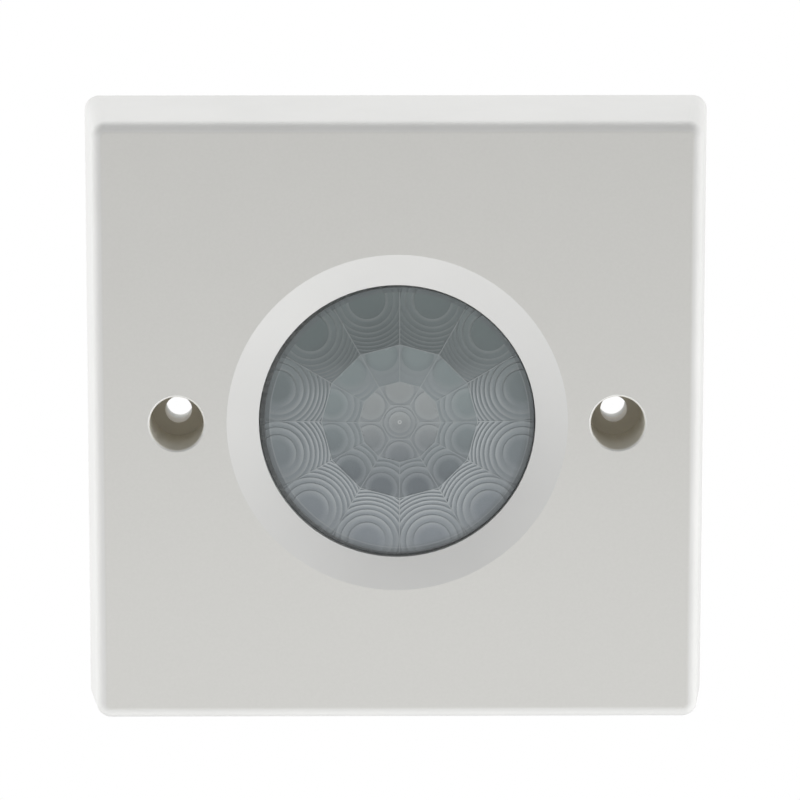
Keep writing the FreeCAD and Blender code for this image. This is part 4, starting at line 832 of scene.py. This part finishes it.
polyamide = moulded("terminal_plastic", POLYAMIDE_GREY, POLYAMIDE_SHADE, rough=0.4)
flecks = polyamide.between(polyamide.noise(FLECK_WIDE, detail=4.0), *FLECK_FROM_TO)
polyamide.cover(polyamide.both(flecks, FLECK_SHARE), FLECK_PALE)
dress(polyamide, "terminal_housing")
brass = plated("brass_strip", BRASS_BRIGHT, BRASS_DULL, rough=0.3)
ridges(brass, brass.coordinate("X"), BRASS_PITCH, BRASS_SLOPE)
dress(brass, "terminal_contacts")
screw_zinc = plated("zinc_steel", ZINC_BRIGHT, ZINC_DULL, rough=0.28)
screw_low, screw_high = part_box("terminal_screw_1")
thread(screw_zinc, screw_high.y - SCREW_HEAD_HIGH, screw_low.y, CLAMP_PITCH)
dress(screw_zinc, *[f"terminal_screw_{number}" for number in TERMINALS])
clamp_zinc = plated("clamp_zinc", CLAMP_BRIGHT, CLAMP_DULL, rough=0.34, streak=0.0002)
dress(clamp_zinc, *[f"terminal_clamp_{number}" for number in TERMINALS])

# Adjusters for time and light level: a blue moulded body on the board, and a cream knob with a slot shaped
# as an arrow, which a screwdriver turns through the capsule's rear.
ADJUSTER_BLUE = (0.12, 0.2, 0.5)
ADJUSTER_SHADE = (0.09, 0.15, 0.4)
SEAM_BLUE = (0.05, 0.09, 0.25)
SEAM_PLACE = 0.0072
SEAM_HALF = 0.00006
STRIPE_EDGE = 0.00005
KNOB_CREAM = (0.84, 0.82, 0.75)
KNOB_SHADE = (0.78, 0.76, 0.68)
SLOT_PAINTED_SHADE = (0.5, 0.48, 0.42)
SLOT_SHARE = 0.5
SLOT_SIDE = 0.0003
SLOT_FLOOR = 0.0005


def stripe(finish, axis, middle, half):
    """1 within half of a place along one axis, and 0 further off."""
    return finish.between(away(finish, finish.coordinate(axis), middle), half + STRIPE_EDGE, half)


adjuster = moulded("adjuster_plastic", ADJUSTER_BLUE, ADJUSTER_SHADE, rough=0.4)
adjuster.cover(stripe(adjuster, "Y", SEAM_PLACE, SEAM_HALF), SEAM_BLUE)
dress(adjuster, "time_adjuster_body", "light_level_adjuster_body")
for name in ("time_adjuster_knob", "light_level_adjuster_knob"):
    knob_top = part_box(name)[1].y
    knob = moulded(name, KNOB_CREAM, KNOB_SHADE, rough=0.4)
    # painted shade, darkening the slot towards its floor
    down_slot = knob.between(knob.coordinate("Y"), knob_top - SLOT_SIDE, knob_top - SLOT_FLOOR)
    knob.cover(knob.both(down_slot, SLOT_SHARE), SLOT_PAINTED_SHADE)
    dress(knob, name)

# Relay: a glossy black moulded cover, glued to its base along a seam near the board, with a small vent on
# top. Its tinned pins are soldered to the board's rear, as those of the next components are.
RELAY_BLACK = (0.05, 0.05, 0.055)
RELAY_SHADE = (0.035, 0.035, 0.04)
GLUE_BLACK = (0.015, 0.015, 0.016)
GLUE_ABOVE_BOARD = 0.0013
GLUE_HALF = 0.00006
GLUE_DEEP = 0.0001
VENT_INSET = 0.002
VENT_RADIUS = 0.00065
VENT_DEEP = 0.0002
PIN_SHEEN = 0.0006
BARE_EDGE = 0.00003
BODY_FOOT = -0.00005
board_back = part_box("circuit_board")[1].y


def pinned(finish, metal):
    """Show tinned metal in place of the body where metal is 1."""
    finish.cover(metal, finish.mix(finish.noise(PIN_SHEEN, detail=3.0), TINNED_DULL, TINNED))
    finish.give(finish.shader.inputs["Metallic"], metal)


def under(finish, gap):
    """1 on what is nearer to the board than a gap behind it."""
    return finish.between(finish.coordinate("Y"), board_back + gap + BARE_EDGE, board_back + gap)


relay_low, relay_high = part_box("relay")
relay = moulded("relay_plastic", RELAY_BLACK, RELAY_SHADE, rough=0.3)
glue = stripe(relay, "Y", board_back + GLUE_ABOVE_BOARD, GLUE_HALF)
relay.relief(glue, -GLUE_DEEP)
relay.cover(glue, GLUE_BLACK)
relay.relief(relay.disc(relay_low.x + VENT_INSET, relay_high.z - VENT_INSET, VENT_RADIUS), -VENT_DEEP)
pinned(relay, under(relay, BODY_FOOT))
dress(relay, "relay")

# Mains capacitor: a glossy yellow moulded case, open at the board and filled there with darker resin. It
# drops the mains voltage for the electronics.
CAPACITOR_YELLOW = (0.75, 0.58, 0.1)
CAPACITOR_SHADE = (0.66, 0.5, 0.08)
RESIN_BROWN = (0.5, 0.34, 0.06)
RESIN_HIGH = 0.0005
CASE_RIM = 0.0006
CASE_RIM_HALF = 0.00005
CASE_RIM_DEEP = 0.00008

dropper = moulded("capacitor_plastic", CAPACITOR_YELLOW, CAPACITOR_SHADE, rough=0.3)
dropper.cover(under(dropper, RESIN_HIGH), RESIN_BROWN)
dropper.relief(stripe(dropper, "Y", board_back + CASE_RIM, CASE_RIM_HALF), -CASE_RIM_DEEP)
pinned(dropper, under(dropper, BODY_FOOT))
dress(dropper, "mains_capacitor")

# Reservoir capacitor: an aluminium can in a black shrunk sleeve, with a pale stripe down the negative side.
# The sleeve leaves most of the can's scored top bare.
SLEEVE_BLACK = (0.04, 0.04, 0.045)
SLEEVE_SHADE = (0.03, 0.03, 0.034)
NEGATIVE_GREY = (0.5, 0.52, 0.56)
SLEEVE_OPENING = 0.0033
BARE_BELOW_TOP = (0.00035, 0.0003)
ALUMINIUM = (0.78, 0.78, 0.79)

reservoir_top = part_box("reservoir_capacitor")[1].y
reservoir_x, reservoir_z = middle_of("reservoir_capacitor")
sleeve = moulded("black_sleeve", SLEEVE_BLACK, SLEEVE_SHADE, rough=0.25)
stripe_from = reservoir_x + SLEEVE_OPENING
sleeve.cover(sleeve.between(sleeve.coordinate("X"), stripe_from, stripe_from + STRIPE_EDGE), NEGATIVE_GREY)
near_top = sleeve.between(sleeve.coordinate("Y"), *(reservoir_top - below for below in BARE_BELOW_TOP))
bare_top = sleeve.both(near_top, sleeve.disc(reservoir_x, reservoir_z, SLEEVE_OPENING))
pinned(sleeve, sleeve.reckon("MAXIMUM", under(sleeve, BODY_FOOT), bare_top))
sleeve.cover(bare_top, ALUMINIUM)
dress(sleeve, "reservoir_capacitor")

# Varistor: a ceramic disc dipped in blue lacquer, which runs a little way down its tinned wires. It takes
# up surges of the mains.
LACQUER_BLUE = (0.05, 0.15, 0.48)
LACQUER_SHADE = (0.04, 0.11, 0.38)
LACQUER_WAVES = 0.0015
LACQUER_WAVES_DEEP = 0.00012
LACQUER_FOOT = 0.0006

varistor = moulded("blue_lacquer", LACQUER_BLUE, LACQUER_SHADE, rough=0.25)
varistor.relief(varistor.noise(LACQUER_WAVES), LACQUER_WAVES_DEEP)
pinned(varistor, under(varistor, LACQUER_FOOT))
dress(varistor, "varistor")

# Fusible resistor: a ceramic rod with a green cement coat and four coloured rings. Its wires bend down to
# the board at both ends.
CEMENT_GREEN = (0.33, 0.5, 0.42)
CEMENT_SHADE = (0.27, 0.42, 0.35)
RING_RED = (0.35, 0.05, 0.03)
RING_BLACK = (0.03, 0.03, 0.03)
RING_GOLD = (0.5, 0.36, 0.1)
RINGS = ((-0.0032, RING_RED), (-0.0014, RING_BLACK), (0.0004, RING_BLACK), (0.0028, RING_GOLD))
RING_HALF = 0.0004
ROD_HALF = 0.005

rod_middle = middle_of("fusible_resistor")[0]
resistor = moulded("resistor_lacquer", CEMENT_GREEN, CEMENT_SHADE, rough=0.45)
for place, colour in RINGS:
    resistor.cover(stripe(resistor, "X", rod_middle + place, RING_HALF), colour)
off_rod = away(resistor, resistor.coordinate("X"), rod_middle)
pinned(resistor, resistor.between(off_rod, ROD_HALF, ROD_HALF + BARE_EDGE))
dress(resistor, "fusible_resistor")

# Rectifier diodes: black moulded resin, a pale band at the end that current leaves by, and tinned tabs that
# are soldered flat on the board. The four stand in a row.
DIODE_BLACK = (0.04, 0.04, 0.04)
DIODE_SHADE = (0.028, 0.028, 0.028)
DIODE_PITCH = 0.0078
DIODE_HALF = 0.00215
BAND_GREY = (0.6, 0.6, 0.58)
BAND_PLACE = 0.0014
BAND_HALF = 0.0003
TAB_EDGE = 0.00002

diodes = moulded("chip_resin", DIODE_BLACK, DIODE_SHADE, rough=0.5)
along_diode = diodes.reckon("WRAP", diodes.coordinate("X"), DIODE_PITCH, 0.0)
off_band = away(diodes, along_diode, DIODE_PITCH / 2 + BAND_PLACE)
diodes.cover(diodes.between(off_band, BAND_HALF + STRIPE_EDGE, BAND_HALF), BAND_GREY)
off_diode = away(diodes, along_diode, DIODE_PITCH / 2)
pinned(diodes, diodes.between(off_diode, DIODE_HALF, DIODE_HALF + TAB_EDGE))
dress(diodes, "rectifier_diodes")

# Control chip: black moulded resin with a dimple at its first pin. Tinned pins along both long sides are
# soldered flat on the board.
CHIP_HALF = 0.002
DIMPLE_RIGHT = 0.0008
DIMPLE_UP = -0.0012
DIMPLE_RADIUS = 0.00035
DIMPLE_DEEP = 0.0001

chip_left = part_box("control_chip")[0].x
chip_middle = middle_of("control_chip")[1]
chip = moulded("chip_case", DIODE_BLACK, DIODE_SHADE, rough=0.5)
chip.relief(chip.disc(chip_left + DIMPLE_RIGHT, chip_middle + DIMPLE_UP, DIMPLE_RADIUS), -DIMPLE_DEEP)
off_chip = away(chip, chip.coordinate("Z"), chip_middle)
pinned(chip, chip.between(off_chip, CHIP_HALF, CHIP_HALF + TAB_EDGE))
dress(chip, "control_chip")

# Camera, where the photograph was taken from: just left of the middle and a little above, far off. The
# shift only frames the part as the photograph does.
PHOTO_AIM = Vector((0.0, -0.0165, 0.0))
PHOTO_AZIMUTH = math.radians(-0.79)
PHOTO_ELEVATION = math.radians(10.98)
PHOTO_ROLL = math.radians(0.05)
PHOTO_DISTANCE = 0.7
PHOTO_LENS = 230.6
PHOTO_SENSOR = 36.0
PHOTO_SHIFT = (0.0033, 0.0294)
NEAREST_SEEN = 0.05
FARTHEST_SEEN = 20.0

camera_data = bpy.data.cameras.new("camera")
camera_data.lens = PHOTO_LENS
camera_data.sensor_width = PHOTO_SENSOR
camera_data.shift_x, camera_data.shift_y = PHOTO_SHIFT
camera_data.clip_start = NEAREST_SEEN
camera_data.clip_end = FARTHEST_SEEN
camera = put("camera", camera_data)
bpy.context.scene.camera = camera
back = Vector((math.sin(PHOTO_AZIMUTH) * math.cos(PHOTO_ELEVATION),
               -math.cos(PHOTO_AZIMUTH) * math.cos(PHOTO_ELEVATION), math.sin(PHOTO_ELEVATION)))
camera.location = PHOTO_AIM + back * PHOTO_DISTANCE
camera.rotation_euler = (-back).to_track_quat("-Z", "Y").to_euler()
camera.rotation_euler.rotate_axis("Z", PHOTO_ROLL)

# Light: the part hangs in a wide white surround, as in the photograph, so nothing catches its shadow. The
# surround is bright behind and to the sides and dim round the camera, and a long lamp stands low in front.
HALVES_BLEND = 0.05
BEHIND_RIM = 1.655
BEHIND_MIDDLE = 0.65
BEHIND_RIGHT = -0.288
BEHIND_UP = 0.5
FRONT_MIDDLE = 0.14
FRONT_RIM = 1.922
FRONT_RIGHT = 0.256
FRONT_UP = -1.3
BAND_WIDE = 0.48
BAND_STRONG = 1.122
BAND_TILTED = 0.4

# Straight below and straight from a side the surround is dimmer, so that the white walls don't clip there.
BELOW_FROM_TO = (-0.4, -0.9)
BELOW_SHARE = 0.262
SIDE_FROM_TO = (0.75, 1.0)
SIDE_SHARE = 0.86

world = bpy.data.worlds.new("surround")
bpy.context.scene.world = world
world.use_nodes = True
sky = Nodes(world.node_tree)
ray = sky.add("ShaderNodeTexCoord", {}, "Generated")
across, along, up = (sky.add("ShaderNodeSeparateXYZ", {0: ray}, axis) for axis in "XYZ")
from_rim = sky.reckon("ABSOLUTE", along)
behind_tilt = sky.reckon("MULTIPLY_ADD", across, BEHIND_RIGHT, sky.both(up, BEHIND_UP))
behind_light = sky.reckon("ADD", sky.between(from_rim, 0.0, 1.0, BEHIND_RIM, BEHIND_MIDDLE), behind_tilt)
front_tilt = sky.reckon("MULTIPLY_ADD", across, FRONT_RIGHT, sky.reckon("MULTIPLY_ADD", up, FRONT_UP, 1.0))
near_rim = sky.between(from_rim, 1.0, 0.0, 0.0, FRONT_RIM)
rim_light = sky.reckon("MULTIPLY_ADD", near_rim, front_tilt, FRONT_MIDDLE)
band_light = sky.both(sky.between(from_rim, BAND_WIDE, 0.0, 0.0, BAND_STRONG),
                      sky.reckon("MULTIPLY_ADD", front_tilt, BAND_TILTED, 1 - BAND_TILTED))
front_light = sky.reckon("ADD", rim_light, band_light)
behind = sky.between(along, -HALVES_BLEND, HALVES_BLEND)
light = sky.blend(behind, front_light, behind_light)
light = sky.both(light, sky.between(up, *BELOW_FROM_TO, 1.0, BELOW_SHARE))
light = sky.both(light, sky.between(sky.reckon("ABSOLUTE", across), *SIDE_FROM_TO, 1.0, SIDE_SHARE))
seen = sky.reckon("MAXIMUM", sky.add("ShaderNodeLightPath", {}, "Is Camera Ray"),
                  sky.add("ShaderNodeLightPath", {}, "Is Transmission Ray"))
background = world.node_tree.nodes["Background"]
background.inputs["Color"].default_value = (1, 1, 1, 1)
sky.give(background.inputs["Strength"], sky.blend(seen, light, 1.0))

LAMP_PLACE = Vector((0.0, -0.125, -0.065))
LAMP_LONG = 0.4
LAMP_WIDE = 0.05
LAMP_POWER = 0.0585

lamp_data = bpy.data.lights.new("low_lamp", "AREA")
lamp_data.shape = "RECTANGLE"
lamp_data.size = LAMP_LONG
lamp_data.size_y = LAMP_WIDE
lamp_data.energy = LAMP_POWER
lamp = put("low_lamp", lamp_data)
lamp.location = LAMP_PLACE
lamp.rotation_euler = (PHOTO_AIM - LAMP_PLACE).to_track_quat("-Z", "Y").to_euler()
lamp.visible_camera = False

bpy.context.scene.view_settings.view_transform = "Standard"
